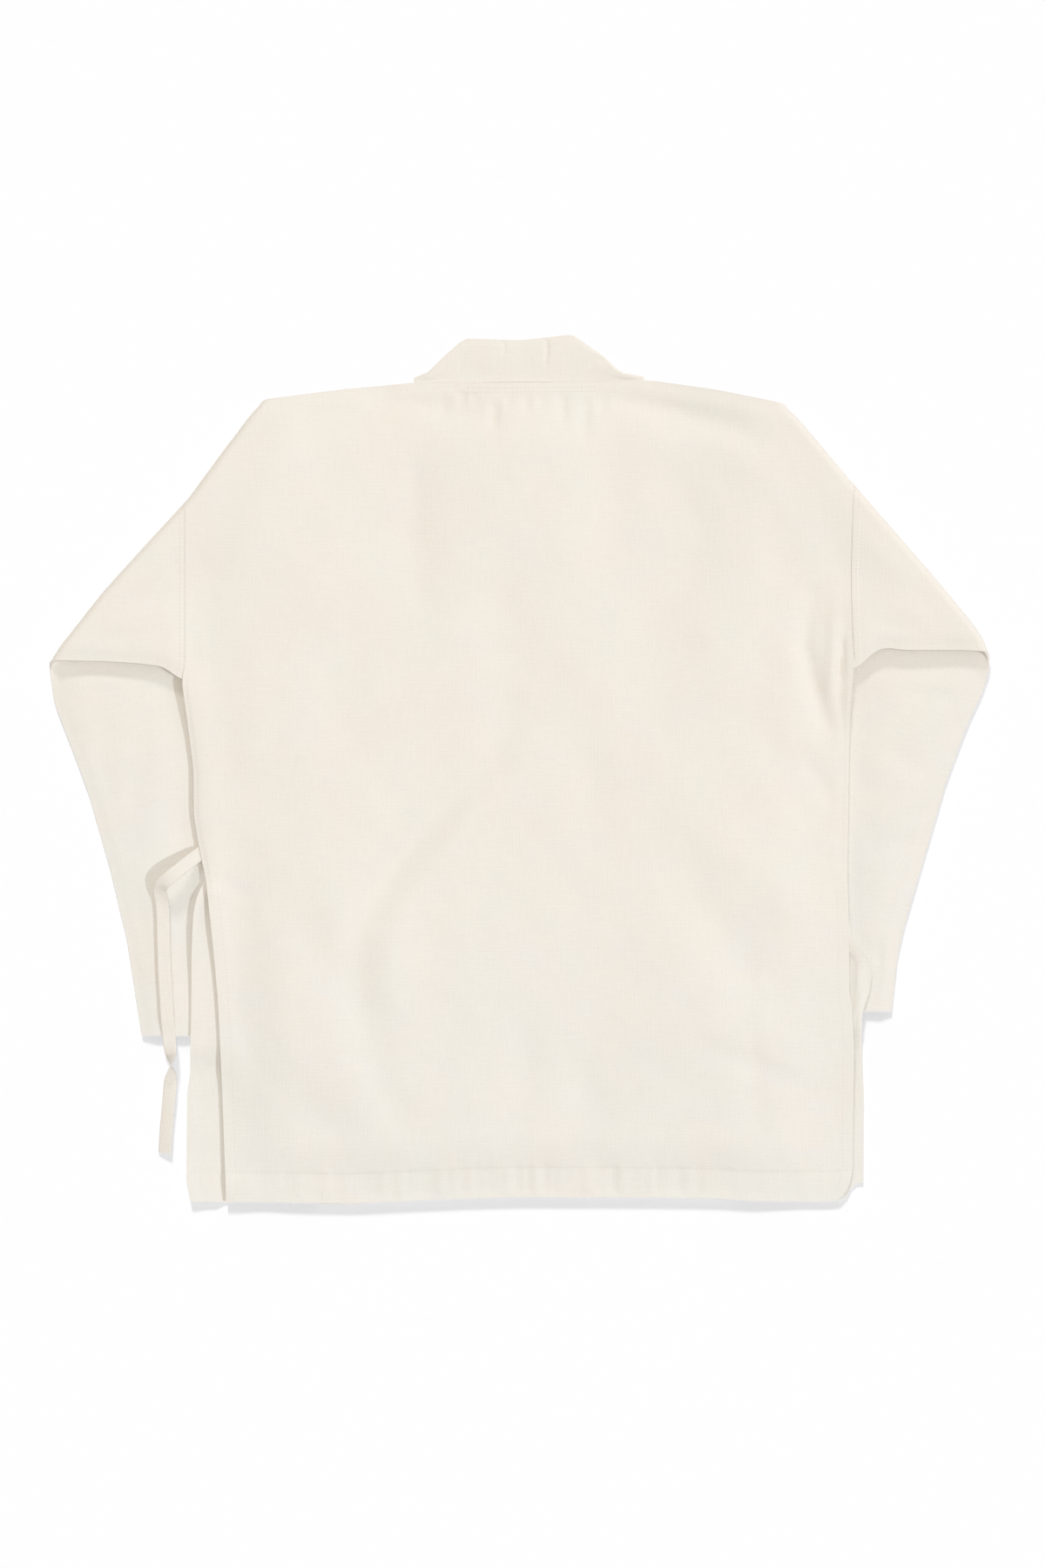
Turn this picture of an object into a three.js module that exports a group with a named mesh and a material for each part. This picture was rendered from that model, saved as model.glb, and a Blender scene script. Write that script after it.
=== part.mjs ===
// Martial arts jacket of undyed cotton, laid face down with both sleeves folded under.
// Millimetres, +Z up, +Y towards the collar, +X to the wearer's right.
// Every piece is drawn flat, given a height where it lies on the others, and then the
// shoulder corners and the sleeves are turned under along two slanting folds.
import * as THREE from 'three';

// Cloth and seams
const CLOTH = 1.2;
const SEAM_GAP = 0.3;
const ARMHOLE_GAP = 0.5;
const HEM_DEPTH = 28;
const HEM_EXTRA = 0.9;
const HEM_STEP = 1.5;
const FRONT_CORNER_RISE = 14;
const HEM_SHARE = 0.08;

// Collar and lapel bands
const BAND_WALL = 2.0;
const BAND_ACROSS = 42;
const COLLAR_WALL = 3.0;
const COLLAR_ROLL = 1.6;

// Ties
const TIE_WIDTH = 12.3;
const TIE_WALL = 1.0;
const TIE_ON_FRONT = 2.6;

// Folds that turn the sleeves under: the stack of cloth bends round a line at this height
const FOLD_CENTRE = 7.5;
const FOLD_RADIUS = 7.5;
const FOLD_NEUTRAL = 5.2;
const FOLD_STEPS = 6;

// Heights of the layers, each measured up from what lies below it
const SLEEVE_LAYERS = 3.4;
const UNDER_SLEEVE_LIFT = 4.9;
const FOLD_LIFT = 5.5;
const UNDERARM_LIFT = 6;
const OVERLAP_LIFT = 3.4;
const BACK_OVER_FRONT = 2.8;
const BACK_LOFT = 3.2;
const SEAMED_EDGES = CLOTH + SEAM_GAP;

// Levels across the body
const NECK_HALF = 110;
const VENT_TOP = -103;
const ARMPIT = 84;

// Widths of the soft steps between layers, measured from the edge that makes each step
const SLEEVE_RAMP = { near: 12, far: 34 };
const CUFF_RAMP = { near: 4, far: 34 };
const WRAP_RAMP = { near: 5, far: 29 };
const FOLD_RAMP = { near: 12, far: 70 };
const SEAM_RAMP = 15;

// Rows of the body panels: hem, cuffs of the sleeves below, then even rows to the shoulder
const LOW_ROWS = [-404, -376, -374.5, -345, -310, -279, -254, -231];
const HIGH_ROWS = { count: 17, last: 340, top: 355 };

// Fold lines, from the shoulder to the elbow, and how far the line sits inside that chord
const FOLDS = [
  {
    side: -1,
    shoulder: { x: -241.7, y: 347.9 },
    elbow: { x: -438.5, y: 106 },
    inset: [
      { along: 0, by: 0 },
      { along: 60, by: 2.5 },
      { along: 116, by: 5.5 },
      { along: 180, by: 1.5 },
      { along: 234, by: -1.3 },
      { along: 312, by: 0 },
    ],
  },
  {
    side: 1,
    shoulder: { x: 253.6, y: 343 },
    elbow: { x: 441.8, y: 123.6 },
    inset: [
      { along: 0, by: 0 },
      { along: 98, by: 1.3 },
      { along: 209, by: 0.3 },
      { along: 265, by: 1.2 },
      { along: 285, by: 3 },
      { along: 300, by: 7 },
      { along: 312, by: 8.5 },
      { along: 338, by: 6 },
      { along: 369, by: 3.5 },
      { along: 445, by: 0 },
    ],
  },
];

// Side edges of the back panel, level by level from hem to shoulder
const BACK_SIDES = [
  { y: -410, left: -274.5, right: 293 },
  { y: -404, left: -274.5, right: 303 },
  { y: -396, left: -274.6, right: 309 },
  { y: -388, left: -274.8, right: 312.5 },
  { y: -376, left: -275.4, right: 315 },
  { y: -347, left: -276.5, right: 315.1 },
  { y: -265, left: -279.4, right: 315.9 },
  { y: -223, left: -281.5, right: 314.3 },
  { y: -210, left: -282.3, right: 311.4 },
  { y: -160, left: -286.8, right: 311.2 },
  { y: -103, left: -292.8, right: 309.6 },
  { y: -70, left: -299.9, right: 310 },
  { y: -42, left: -304.4, right: 310.5 },
  { y: 0, left: -304.6, right: 311 },
  { y: 54, left: -311.4, right: 312 },
  { y: 84, left: -315.4, right: 314.4 },
  { y: 100, left: -312.3, right: 315.6 },
  { y: 135, left: -312.3, right: 314 },
  { y: 180, left: -312.3, right: 312.8 },
  { y: 230, left: -312.3, right: 313.8 },
  { y: 290, left: -312.3, right: 315.6 },
  { y: 350, left: -312.3, right: 316 },
];

// Side edges of the fronts: they show past the back panel below the side vents
const FRONT_SIDES = [
  { y: -410, left: -307, right: 322 },
  { y: -388, left: -312, right: 325 },
  { y: -301, left: -311.2, right: 325.4 },
  { y: -287, left: -308.5, right: 324.6 },
  { y: -229, left: -307.2, right: 323.3 },
  { y: -213, left: -307.1, right: 329 },
  { y: -200, left: -307, right: 332.3 },
  { y: -181, left: -306.8, right: 332.3 },
  { y: -167, left: -306.5, right: 315 },
  { y: -134, left: -304.8, right: 309.8 },
  { y: -117, left: -301.1, right: 309.6 },
  { y: -103, left: -294, right: 309.6 },
  { y: -70, left: -299.9, right: 310 },
  { y: -42, left: -304.4, right: 310.5 },
  { y: 0, left: -304.6, right: 311 },
  { y: 54, left: -311.4, right: 312 },
  { y: 84, left: -315.4, right: 314.4 },
  { y: 100, left: -312.3, right: 315.6 },
  { y: 135, left: -312.3, right: 314 },
  { y: 180, left: -312.3, right: 312.8 },
  { y: 230, left: -312.3, right: 313.8 },
  { y: 290, left: -312.3, right: 315.6 },
  { y: 350, left: -312.3, right: 316 },
];

// Shoulder line and neck seam, and the bottom edge of the hem
const TOP_EDGE = [
  { x: -316, y: 339.6 },
  { x: -245, y: 347 },
  { x: -160, y: 358.5 },
  { x: -97, y: 364.5 },
  { x: 0, y: 364.5 },
  { x: 99, y: 366 },
  { x: 127, y: 366.5 },
  { x: 185, y: 357.7 },
  { x: 254, y: 343.4 },
  { x: 318, y: 341.2 },
];
const HEM_EDGE = [
  { x: -312, y: -406 },
  { x: -237, y: -406 },
  { x: -155, y: -407.5 },
  { x: -106, y: -405 },
  { x: -41, y: -402.2 },
  { x: 0, y: -401.2 },
  { x: 123, y: -401.5 },
  { x: 189, y: -402.5 },
  { x: 222, y: -405 },
  { x: 290, y: -405.5 },
  { x: 325, y: -402 },
];

// Outer edges of the two lapel bands, from hem to neck
const LAPEL_EDGES = [
  { y: -410, left: 190, right: -190 },
  { y: -254, left: 177, right: -177 },
  { y: -164, left: 162, right: -162 },
  { y: -97, left: 140, right: -140 },
  { y: 402, left: -52, right: 52 },
];
const LAPEL_TOP = [
  { x: 38, y: 398 },
  { x: 52, y: 400 },
  { x: 94, y: 364 },
];

// Upper edge of the back neck band
const COLLAR_TOP = [
  { x: -97, y: 368.5 },
  { x: -84, y: 374 },
  { x: -68, y: 389.7 },
  { x: -54, y: 402 },
  { x: -47, y: 405.3 },
  { x: 1, y: 403.7 },
  { x: 24, y: 406 },
  { x: 47, y: 408.6 },
  { x: 53, y: 407.8 },
  { x: 65, y: 399.6 },
  { x: 81, y: 388 },
  { x: 93, y: 376.6 },
  { x: 99, y: 373 },
  { x: 118, y: 369.6 },
];

// Sleeves before they are folded: the underarm seam and the edge over the arm
const SLEEVES = [
  {
    side: -1,
    overarm: { start: 340, cuffOut: 841, cuff: 281 },
    cuffOut: 804.4,
    hiddenEdge: { x: -241.7, y: 347.9, slope: 0.0945 },
    cuffLevel: -252,
    underarm: [
      { out: 312, y: 84 },
      { out: 322, y: 88 },
      { out: 333, y: 97 },
      { out: 350, y: 99.4 },
      { out: 385, y: 102 },
      { out: 441, y: 103 },
      { out: 482, y: 100 },
      { out: 534, y: 108.7 },
      { out: 574, y: 114.5 },
      { out: 645, y: 119.6 },
      { out: 714, y: 121.6 },
      { out: 804.4, y: 117 },
    ],
  },
  {
    side: 1,
    overarm: { start: 341.2, cuffOut: 828.6, cuff: 326.5 },
    cuffOut: 802.8,
    hiddenEdge: { x: 253.6, y: 343, slope: -0.1247 },
    cuffLevel: -228,
    underarm: [
      { out: 312, y: 94 },
      { out: 319, y: 96 },
      { out: 335, y: 111.7 },
      { out: 346, y: 115 },
      { out: 359, y: 112.5 },
      { out: 421, y: 112.5 },
      { out: 444, y: 110.7 },
      { out: 458, y: 107.6 },
      { out: 479, y: 110.8 },
      { out: 510, y: 121 },
      { out: 533, y: 127 },
      { out: 577, y: 137.6 },
      { out: 722, y: 160.5 },
      { out: 751, y: 162.4 },
      { out: 802.8, y: 160.4 },
    ],
  },
];

// Soft troughs in the back, each a run of points with its width and depth
const TROUGHS = [
  { width: 30, depth: 2.6, run: [[-15, -21], [-94, -93], [-127, -139], [-130, -218], [-133, -283], [-94, -349]] },
  { width: 34, depth: 2.4, run: [[90, -60], [168, -120], [201, -185], [254, -218]] },
  { width: 22, depth: 2.6, run: [[-265, -152], [-232, -270], [-186, -329], [-166, -356]] },
  { width: 26, depth: 2.0, run: [[-60, 330], [-52, 240], [-70, 160]] },
  { width: 30, depth: 1.8, run: [[150, 250], [120, 120], [135, 20]] },
  { width: 34, depth: 1.8, run: [[-210, 210], [-170, 90], [-185, -20]] },
];

// Middle line of each tie: the side tie arches out of the seam and drops on the sleeve
const SIDE_TIE = [
  { x: -303, y: -81, z: 6.2, turn: 215 },
  { x: -311, y: -87, z: 11.5, turn: 215 },
  { x: -321, y: -94, z: 14, turn: 216 },
  { x: -331, y: -102, z: 12, turn: 222 },
  { x: -337, y: -110, z: 8.5, turn: 240 },
  { x: -338.5, y: -120, z: 6.2, turn: 266 },
  { x: -337, y: -140, z: 5.5, turn: 272 },
  { x: -335.5, y: -180, z: 5.5, turn: 271 },
  { x: -333, y: -225, z: 5.5, turn: 273 },
  { x: -331, y: -250, z: 5.5, turn: 274 },
  { x: -329.5, y: -258, z: 4.6, turn: 276 },
  { x: -327, y: -270, z: 2.4, turn: 278 },
  { x: -325, y: -283, z: 0.6, turn: 274 },
  { x: -327, y: -310, z: 0.6, turn: 266 },
  { x: -330, y: -335, z: 0.6, turn: 263 },
  { x: -333, y: -360, z: 0.6, turn: 262 },
];
const FRONT_TIE = { top: -76, length: 240, offEdge: 8, stations: 16 };

// Colours of the cloth
const ECRU = 0xf2ece2;
const ECRU_BAND = 0xefe7da;
const TIE_COLOUR = 0xe9dfd2;

function smooth(t) {
  const s = Math.min(1, Math.max(0, t));
  return s * s * (3 - 2 * s);
}

// 0 before one level, 1 past the other, and a soft slope between
function ramp(value, from, to) {
  return smooth((value - from) / (to - from));
}

function mix(a, b, t) {
  return a + (b - a) * t;
}

// Value of one column of a table at a place in another column
function lookup(table, key, at, column) {
  if (at <= table[0][key]) {
    return table[0][column];
  }
  for (let i = 1; i < table.length; i += 1) {
    const low = table[i - 1];
    const high = table[i];
    if (at <= high[key]) {
      return mix(low[column], high[column], (at - low[key]) / (high[key] - low[key]));
    }
  }
  return table[table.length - 1][column];
}

const topEdge = (x) => lookup(TOP_EDGE, 'x', x, 'y');
const hemEdge = (x) => lookup(HEM_EDGE, 'x', x, 'y');

// The right front's corner is a little higher than the back's
const frontHem = (x) => hemEdge(x) + FRONT_CORNER_RISE * Math.min(1, Math.max(0, (x - 305) / 14));

// Unit directions of a fold: along its line, and out towards the sleeve
function foldFrame(fold) {
  const dx = fold.elbow.x - fold.shoulder.x;
  const dy = fold.elbow.y - fold.shoulder.y;
  const long = Math.hypot(dx, dy);
  const run = { x: dx / long, y: dy / long };
  const out = { x: fold.side * -run.y, y: fold.side * run.x };
  return { run, out };
}

function foldPlace(fold, x, y) {
  const { run, out } = foldFrame(fold);
  const px = x - fold.shoulder.x;
  const py = y - fold.shoulder.y;
  const along = px * run.x + py * run.y;
  const inset = lookup(fold.inset, 'along', along, 'by');
  return { run, out, along, inset, past: px * out.x + py * out.y + inset };
}

const pastFold = (fold, x, y) => foldPlace(fold, x, y).past;

// Turn a point of the flat jacket under, where it lies past a fold
function bendOne(fold, point) {
  const place = foldPlace(fold, point.x, point.y);
  const into = place.past + FOLD_RADIUS;
  if (into <= 0) {
    return point;
  }
  const radius = point.z - FOLD_CENTRE;
  const arc = Math.PI * FOLD_NEUTRAL;
  const angle = Math.min(into, arc) / FOLD_NEUTRAL;
  const beyond = Math.max(0, into - arc);
  const across = -FOLD_RADIUS + radius * Math.sin(angle) - beyond - place.inset;
  return new THREE.Vector3(
    fold.shoulder.x + place.run.x * place.along + place.out.x * across,
    fold.shoulder.y + place.run.y * place.along + place.out.y * across,
    FOLD_CENTRE + radius * Math.cos(angle),
  );
}

function bend(x, y, z) {
  return FOLDS.reduce((point, fold) => bendOne(fold, point), new THREE.Vector3(x, y, z));
}

// How far a place lies inside the hidden edge of the sleeve below
function overSleeve(sleeve, x, y) {
  const edge = sleeve.hiddenEdge;
  return (x - edge.x - (edge.y - y) * edge.slope) * sleeve.side;
}

// Lift of the body where a folded sleeve lies below it
function sleeveBelow(x, y) {
  return SLEEVES.reduce((lift, sleeve) => {
    const edge = sleeve.hiddenEdge;
    const over = ramp(overSleeve(sleeve, x, y), -SLEEVE_RAMP.far, -SLEEVE_RAMP.near);
    const aboveCuff = ramp(y, sleeve.cuffLevel - CUFF_RAMP.far, sleeve.cuffLevel - CUFF_RAMP.near);
    return lift + UNDER_SLEEVE_LIFT * over * aboveCuff;
  }, 0);
}

function nearFold(x, y) {
  return FOLDS.reduce((lift, fold) => {
    const past = pastFold(fold, x, y);
    const atFold = FOLD_LIFT * ramp(past, -FOLD_RAMP.far, -FOLD_RAMP.near);
    const level = (1 - ramp(y, 115, 200)) * ramp(y, 15, 80);
    const armpit = ramp(x * fold.side, 285, 330) * ramp(-past, 20, 70);
    return lift + atFold + UNDERARM_LIFT * level * armpit;
  }, 0);
}

// Underside of the lowest layer of the fronts, and of the wrap that lies over it
const frontFloor = (x, y) => sleeveBelow(x, y) + nearFold(x, y);

const pastLeftLapel = (x, y) => x - lookup(LAPEL_EDGES, 'y', y, 'left');
const pastRightLapel = (x, y) => lookup(LAPEL_EDGES, 'y', y, 'right') - x;

function overlapLift(x, y) {
  return OVERLAP_LIFT * (1 - ramp(pastLeftLapel(x, y), WRAP_RAMP.near, WRAP_RAMP.far));
}

const rightFrontFloor = (x, y) => frontFloor(x, y) + overlapLift(x, y);

function distanceToRun(x, y, run) {
  let nearest = Infinity;
  for (let i = 1; i < run.length; i += 1) {
    const [ax, ay] = run[i - 1];
    const [bx, by] = run[i];
    const long = (bx - ax) ** 2 + (by - ay) ** 2;
    const t = Math.min(1, Math.max(0, ((x - ax) * (bx - ax) + (y - ay) * (by - ay)) / long));
    nearest = Math.min(nearest, Math.hypot(x - mix(ax, bx, t), y - mix(ay, by, t)));
  }
  return nearest;
}

function troughs(x, y) {
  const depth = TROUGHS.reduce((sum, trough) => {
    const near = distanceToRun(x, y, trough.run) / trough.width;
    return sum + trough.depth * Math.exp(-near * near);
  }, 0);
  return Math.min(depth, BACK_LOFT - 0.4);
}

const leftSide = (x, y) => x - lookup(BACK_SIDES, 'y', y, 'left');
const rightSide = (x, y) => lookup(BACK_SIDES, 'y', y, 'right') - x;

// Underside of the back panel: loose over the fronts, close to them along the seams
function backFloor(x, y) {
  const toSide = Math.min(leftSide(x, y), rightSide(x, y));
  const toTop = topEdge(x) - y;
  const toHem = y - hemEdge(x);
  const clearOfFolds = FOLDS.reduce((clear, fold) => clear * ramp(-pastFold(fold, x, y), 10, 70), 1);
  const loose = ramp(toSide, 5, 70) * ramp(toTop, 5, 70) * ramp(toHem, 5, 60) * clearOfFolds;
  const atArmhole = ramp(Math.abs(x), 240, 305) * ramp(y, 70, 110);
  const sleeveStep = (SLEEVE_LAYERS - BACK_OVER_FRONT) * atArmhole;
  const open = BACK_OVER_FRONT + sleeveStep + loose * (BACK_LOFT - troughs(x, y));
  const sewnLevels = ramp(y, VENT_TOP, VENT_TOP + 20) * (1 - ramp(y, ARMPIT - 9, ARMPIT + 16));
  const sideSeam = (1 - ramp(toSide, 0, SEAM_RAMP)) * sewnLevels;
  const shoulderSeam = (1 - ramp(toTop, 0, SEAM_RAMP)) * ramp(Math.abs(x), NECK_HALF, NECK_HALF + 20);
  const seamed = Math.min(1, sideSeam + shoulderSeam);
  const overWrap = overlapLift(x, y) * (1 - ramp(pastRightLapel(x, y), WRAP_RAMP.near, WRAP_RAMP.far));
  return frontFloor(x, y) + overWrap + mix(open, SEAMED_EDGES, seamed);
}

// A flat sheet of convex cells over a patch of u and v
function flatSheet(across, up, at) {
  const points = [];
  const cells = [];
  up.forEach((v) => across.forEach((u) => points.push({ ...at(u, v), u, v })));
  const wide = across.length;
  for (let j = 0; j + 1 < up.length; j += 1) {
    for (let i = 0; i + 1 < wide; i += 1) {
      const corner = j * wide + i;
      cells.push([corner, corner + 1, corner + wide + 1, corner + wide]);
    }
  }
  const turned = signedArea(cells[0].map((k) => points[k])) < 0;
  return { points, cells: turned ? cells.map((cell) => [...cell].reverse()) : cells };
}

function signedArea(loop) {
  return loop.reduce((sum, p, i) => {
    const q = loop[(i + 1) % loop.length];
    return sum + p.x * q.y - q.x * p.y;
  }, 0) / 2;
}

// Cut every cell along the line where a measure reaches a level
function cutAlong(sheet, measure, level) {
  const SNAP = 0.5;
  const points = [...sheet.points];
  const values = points.map((p) => {
    const value = measure(p.x, p.y) - level;
    return Math.abs(value) < SNAP ? 0 : value;
  });
  const made = new Map();
  const cutPoint = (a, b) => {
    const key = a < b ? `${a}_${b}` : `${b}_${a}`;
    if (!made.has(key)) {
      const t = values[a] / (values[a] - values[b]);
      const p = points[a];
      const q = points[b];
      points.push({ x: mix(p.x, q.x, t), y: mix(p.y, q.y, t), u: mix(p.u, q.u, t), v: mix(p.v, q.v, t) });
      made.set(key, points.length - 1);
    }
    return made.get(key);
  };
  const cells = [];
  sheet.cells.forEach((cell) => {
    const low = [];
    const high = [];
    cell.forEach((a, i) => {
      const b = cell[(i + 1) % cell.length];
      if (values[a] <= 0) {
        low.push(a);
      }
      if (values[a] >= 0) {
        high.push(a);
      }
      if (values[a] * values[b] < 0) {
        const k = cutPoint(a, b);
        low.push(k);
        high.push(k);
      }
    });
    const crossed = cell.some((k) => values[k] < 0) && cell.some((k) => values[k] > 0);
    if (crossed) {
      cells.push(low, high);
    } else {
      cells.push(cell);
    }
  });
  return { points, cells };
}

// Cut a sheet where it will bend, so that each fold turns in even steps
function cutAtFolds(sheet) {
  const arc = Math.PI * FOLD_NEUTRAL;
  let result = sheet;
  FOLDS.forEach((fold) => {
    for (let step = 0; step <= FOLD_STEPS; step += 1) {
      const level = -FOLD_RADIUS + (arc * step) / FOLD_STEPS;
      result = cutAlong(result, (x, y) => pastFold(fold, x, y), level);
    }
  });
  return result;
}

// Edges of a sheet that only one cell uses, in the cell's own direction
function rimEdges(sheet) {
  const seen = new Set();
  sheet.cells.forEach((cell) => cell.forEach((a, i) => seen.add(`${a}_${cell[(i + 1) % cell.length]}`)));
  return [...seen].map((key) => key.split('_').map(Number)).filter(([a, b]) => !seen.has(`${b}_${a}`));
}

class Skin {
  constructor() {
    this.places = [];
    this.faces = [];
  }

  layer(points, place) {
    const first = this.places.length;
    points.forEach((p) => this.places.push(place(p)));
    return (k) => first + k;
  }

  face(...corners) {
    for (let i = 1; i + 1 < corners.length; i += 1) {
      this.faces.push([corners[0], corners[i], corners[i + 1]]);
    }
  }

  // Fill what is left open, where each gap is one small loop
  closeGaps() {
    const ahead = new Set(this.faces.flatMap(([a, b, c]) => [`${a}_${b}`, `${b}_${c}`, `${c}_${a}`]));
    const next = new Map();
    ahead.forEach((key) => {
      const [a, b] = key.split('_').map(Number);
      if (!ahead.has(`${b}_${a}`)) {
        next.set(b, a);
      }
    });
    while (next.size > 0) {
      const start = next.keys().next().value;
      const loop = [];
      for (let k = start; next.has(k);) {
        loop.push(k);
        const following = next.get(k);
        next.delete(k);
        k = following;
      }
      this.face(...loop);
    }
  }

  geometry() {
    const used = [...new Set(this.faces.flat())];
    const renumber = new Map(used.map((k, i) => [k, i]));
    const geometry = new THREE.BufferGeometry();
    const spots = used.flatMap((k) => this.places[k].toArray());
    geometry.setAttribute('position', new THREE.Float32BufferAttribute(spots, 3));
    geometry.setIndex(this.faces.flat().map((k) => renumber.get(k)));
    geometry.computeVertexNormals();
    return geometry;
  }
}

// One wall of cloth between an underside and an upper side
function wall(sheet, under, over) {
  const skin = new Skin();
  const low = skin.layer(sheet.points, under);
  const high = skin.layer(sheet.points, over);
  sheet.cells.forEach((cell) => {
    skin.face(...cell.map(high));
    skin.face(...[...cell].reverse().map(low));
  });
  rimEdges(sheet).forEach(([a, b]) => skin.face(low(a), low(b), high(b), high(a)));
  return skin.geometry();
}

// A flattened tube: two walls joined along both long edges and open at both ends
function flatTube(sheet, heights) {
  const skin = new Skin();
  const isSide = (p) => p.v < 1e-6 || p.v > 1 - 1e-6;
  const shifted = (p, by) => {
    const dir = p.v < 0.5 ? 1 : -1;
    return isSide(p) ? { ...p, y: p.y + dir * by } : p;
  };
  const at = (p, z) => bend(p.x, p.y, z);
  const outerTop = skin.layer(sheet.points, (p) => at(shifted(p, heights.round), heights.backTop(p)));
  const outerLow = skin.layer(sheet.points, (p) => at(shifted(p, heights.round), heights.frontLow(p)));
  const rim = skin.layer(sheet.points, (p) => at(p, (heights.backTop(p) + heights.frontLow(p)) / 2));
  const inset = heights.round + CLOTH * 1.6;
  const innerTop = skin.layer(sheet.points, (p) => at(shifted(p, inset), heights.backTop(p) - CLOTH));
  const innerLow = skin.layer(sheet.points, (p) => at(shifted(p, inset), heights.frontLow(p) + CLOTH));
  sheet.cells.forEach((cell) => {
    const back = [...cell].reverse();
    skin.face(...cell.map(outerTop));
    skin.face(...back.map(innerTop));
    skin.face(...cell.map(innerLow));
    skin.face(...back.map(outerLow));
  });
  rimEdges(sheet).forEach(([a, b]) => {
    if (isSide(sheet.points[a]) && isSide(sheet.points[b])) {
      skin.face(outerLow(a), outerLow(b), rim(b), rim(a));
      skin.face(rim(a), rim(b), outerTop(b), outerTop(a));
      skin.face(innerTop(a), innerTop(b), innerLow(b), innerLow(a));
    } else {
      skin.face(innerTop(a), innerTop(b), outerTop(b), outerTop(a));
      skin.face(outerLow(a), outerLow(b), innerLow(b), innerLow(a));
    }
  });
  skin.closeGaps();
  return skin.geometry();
}

const evenly = (count) => Array.from({ length: count + 1 }, (_, i) => i / count);

function bodyRows() {
  const lowest = LOW_ROWS[0];
  const start = LOW_ROWS[LOW_ROWS.length - 1];
  const high = evenly(HIGH_ROWS.count).slice(1).map((t) => mix(start, HIGH_ROWS.last, t));
  return [...LOW_ROWS, ...high, HIGH_ROWS.top].map((y) => (y - lowest) / (HIGH_ROWS.top - lowest));
}

// Place in a body panel whose sides follow two edges and whose ends follow hem and shoulder
function bodyPlace(u, v, leftAt, rightAt, hemAt = hemEdge) {
  let y = mix(LOW_ROWS[0], HIGH_ROWS.top, v);
  let x = 0;
  for (let pass = 0; pass < 4; pass += 1) {
    x = mix(leftAt(y), rightAt(y), u);
    y = mix(hemEdge(x), topEdge(x), v) + (hemAt(x) - hemEdge(x)) * Math.max(0, 1 - v / HEM_SHARE);
  }
  return { x, y };
}

const hemExtra = (p) => (p.y < hemEdge(p.x) + HEM_DEPTH + HEM_STEP / 2 ? HEM_EXTRA : 0);

// Cut a body panel where its height starts or stops to change
function cutAtSteps(sheet) {
  const steps = [
    { measure: leftSide, at: [SEAM_RAMP] },
    { measure: rightSide, at: [SEAM_RAMP] },
    { measure: pastLeftLapel, at: [WRAP_RAMP.near, WRAP_RAMP.far] },
    { measure: pastRightLapel, at: [WRAP_RAMP.near, WRAP_RAMP.far] },
    ...SLEEVES.map((sleeve) => ({
      measure: (x, y) => overSleeve(sleeve, x, y),
      at: [-SLEEVE_RAMP.far, -SLEEVE_RAMP.near],
    })),
    ...FOLDS.map((fold) => ({
      measure: (x, y) => pastFold(fold, x, y),
      at: [-FOLD_RAMP.far, -FOLD_RAMP.near],
    })),
  ];
  return steps.reduce((cut, { measure, at }) => at.reduce((s, level) => cutAlong(s, measure, level), cut), sheet);
}

function makePanel(columns, leftAt, rightAt, floor, hemAt = hemEdge) {
  const sheet = flatSheet(evenly(columns), bodyRows(), (u, v) => bodyPlace(u, v, leftAt, rightAt, hemAt));
  const cut = cutAtFolds(cutAtSteps(sheet));
  const under = (p) => bend(p.x, p.y, floor(p.x, p.y));
  const over = (p) => bend(p.x, p.y, floor(p.x, p.y) + CLOTH + hemExtra(p));
  return wall(cut, under, over);
}

function makeBack() {
  const left = (y) => lookup(BACK_SIDES, 'y', y, 'left');
  const right = (y) => lookup(BACK_SIDES, 'y', y, 'right');
  return makePanel(15, left, right, backFloor);
}

function makeLeftFront() {
  const left = (y) => lookup(FRONT_SIDES, 'y', y, 'left');
  const right = (y) => lookup(LAPEL_EDGES, 'y', y, 'left') - BAND_ACROSS - SEAM_GAP;
  return makePanel(8, left, right, frontFloor);
}

function makeRightFront() {
  const left = (y) => lookup(LAPEL_EDGES, 'y', y, 'right') + BAND_ACROSS + SEAM_GAP;
  const right = (y) => lookup(FRONT_SIDES, 'y', y, 'right');
  return makePanel(8, left, right, rightFrontFloor, frontHem);
}

// The top of a lapel band follows the slanting end of the back neck band
function slantedEnd(u, edge, seam) {
  let y = HIGH_ROWS.top;
  let x = 0;
  for (let pass = 0; pass < 4; pass += 1) {
    x = mix(edge(y), seam(y), u);
    y = lookup(LAPEL_TOP, 'x', Math.abs(x), 'y');
  }
  return { x, y };
}

// A lapel band runs from the hem to the slanting end of the back neck band
function makeLapel(side, floor) {
  const column = side < 0 ? 'left' : 'right';
  const edge = (y) => lookup(LAPEL_EDGES, 'y', y, column);
  const seam = (y) => edge(y) + side * BAND_ACROSS;
  const sheet = flatSheet(evenly(2), bodyRows(), (u, v) => {
    const place = bodyPlace(u, v, edge, seam);
    return v < 1 ? place : slantedEnd(u, edge, seam);
  });
  const under = (p) => new THREE.Vector3(p.x, p.y, floor(p.x, p.y));
  const over = (p) => new THREE.Vector3(p.x, p.y, floor(p.x, p.y) + BAND_WALL);
  return wall(cutAtSteps(sheet), under, over);
}

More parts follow.
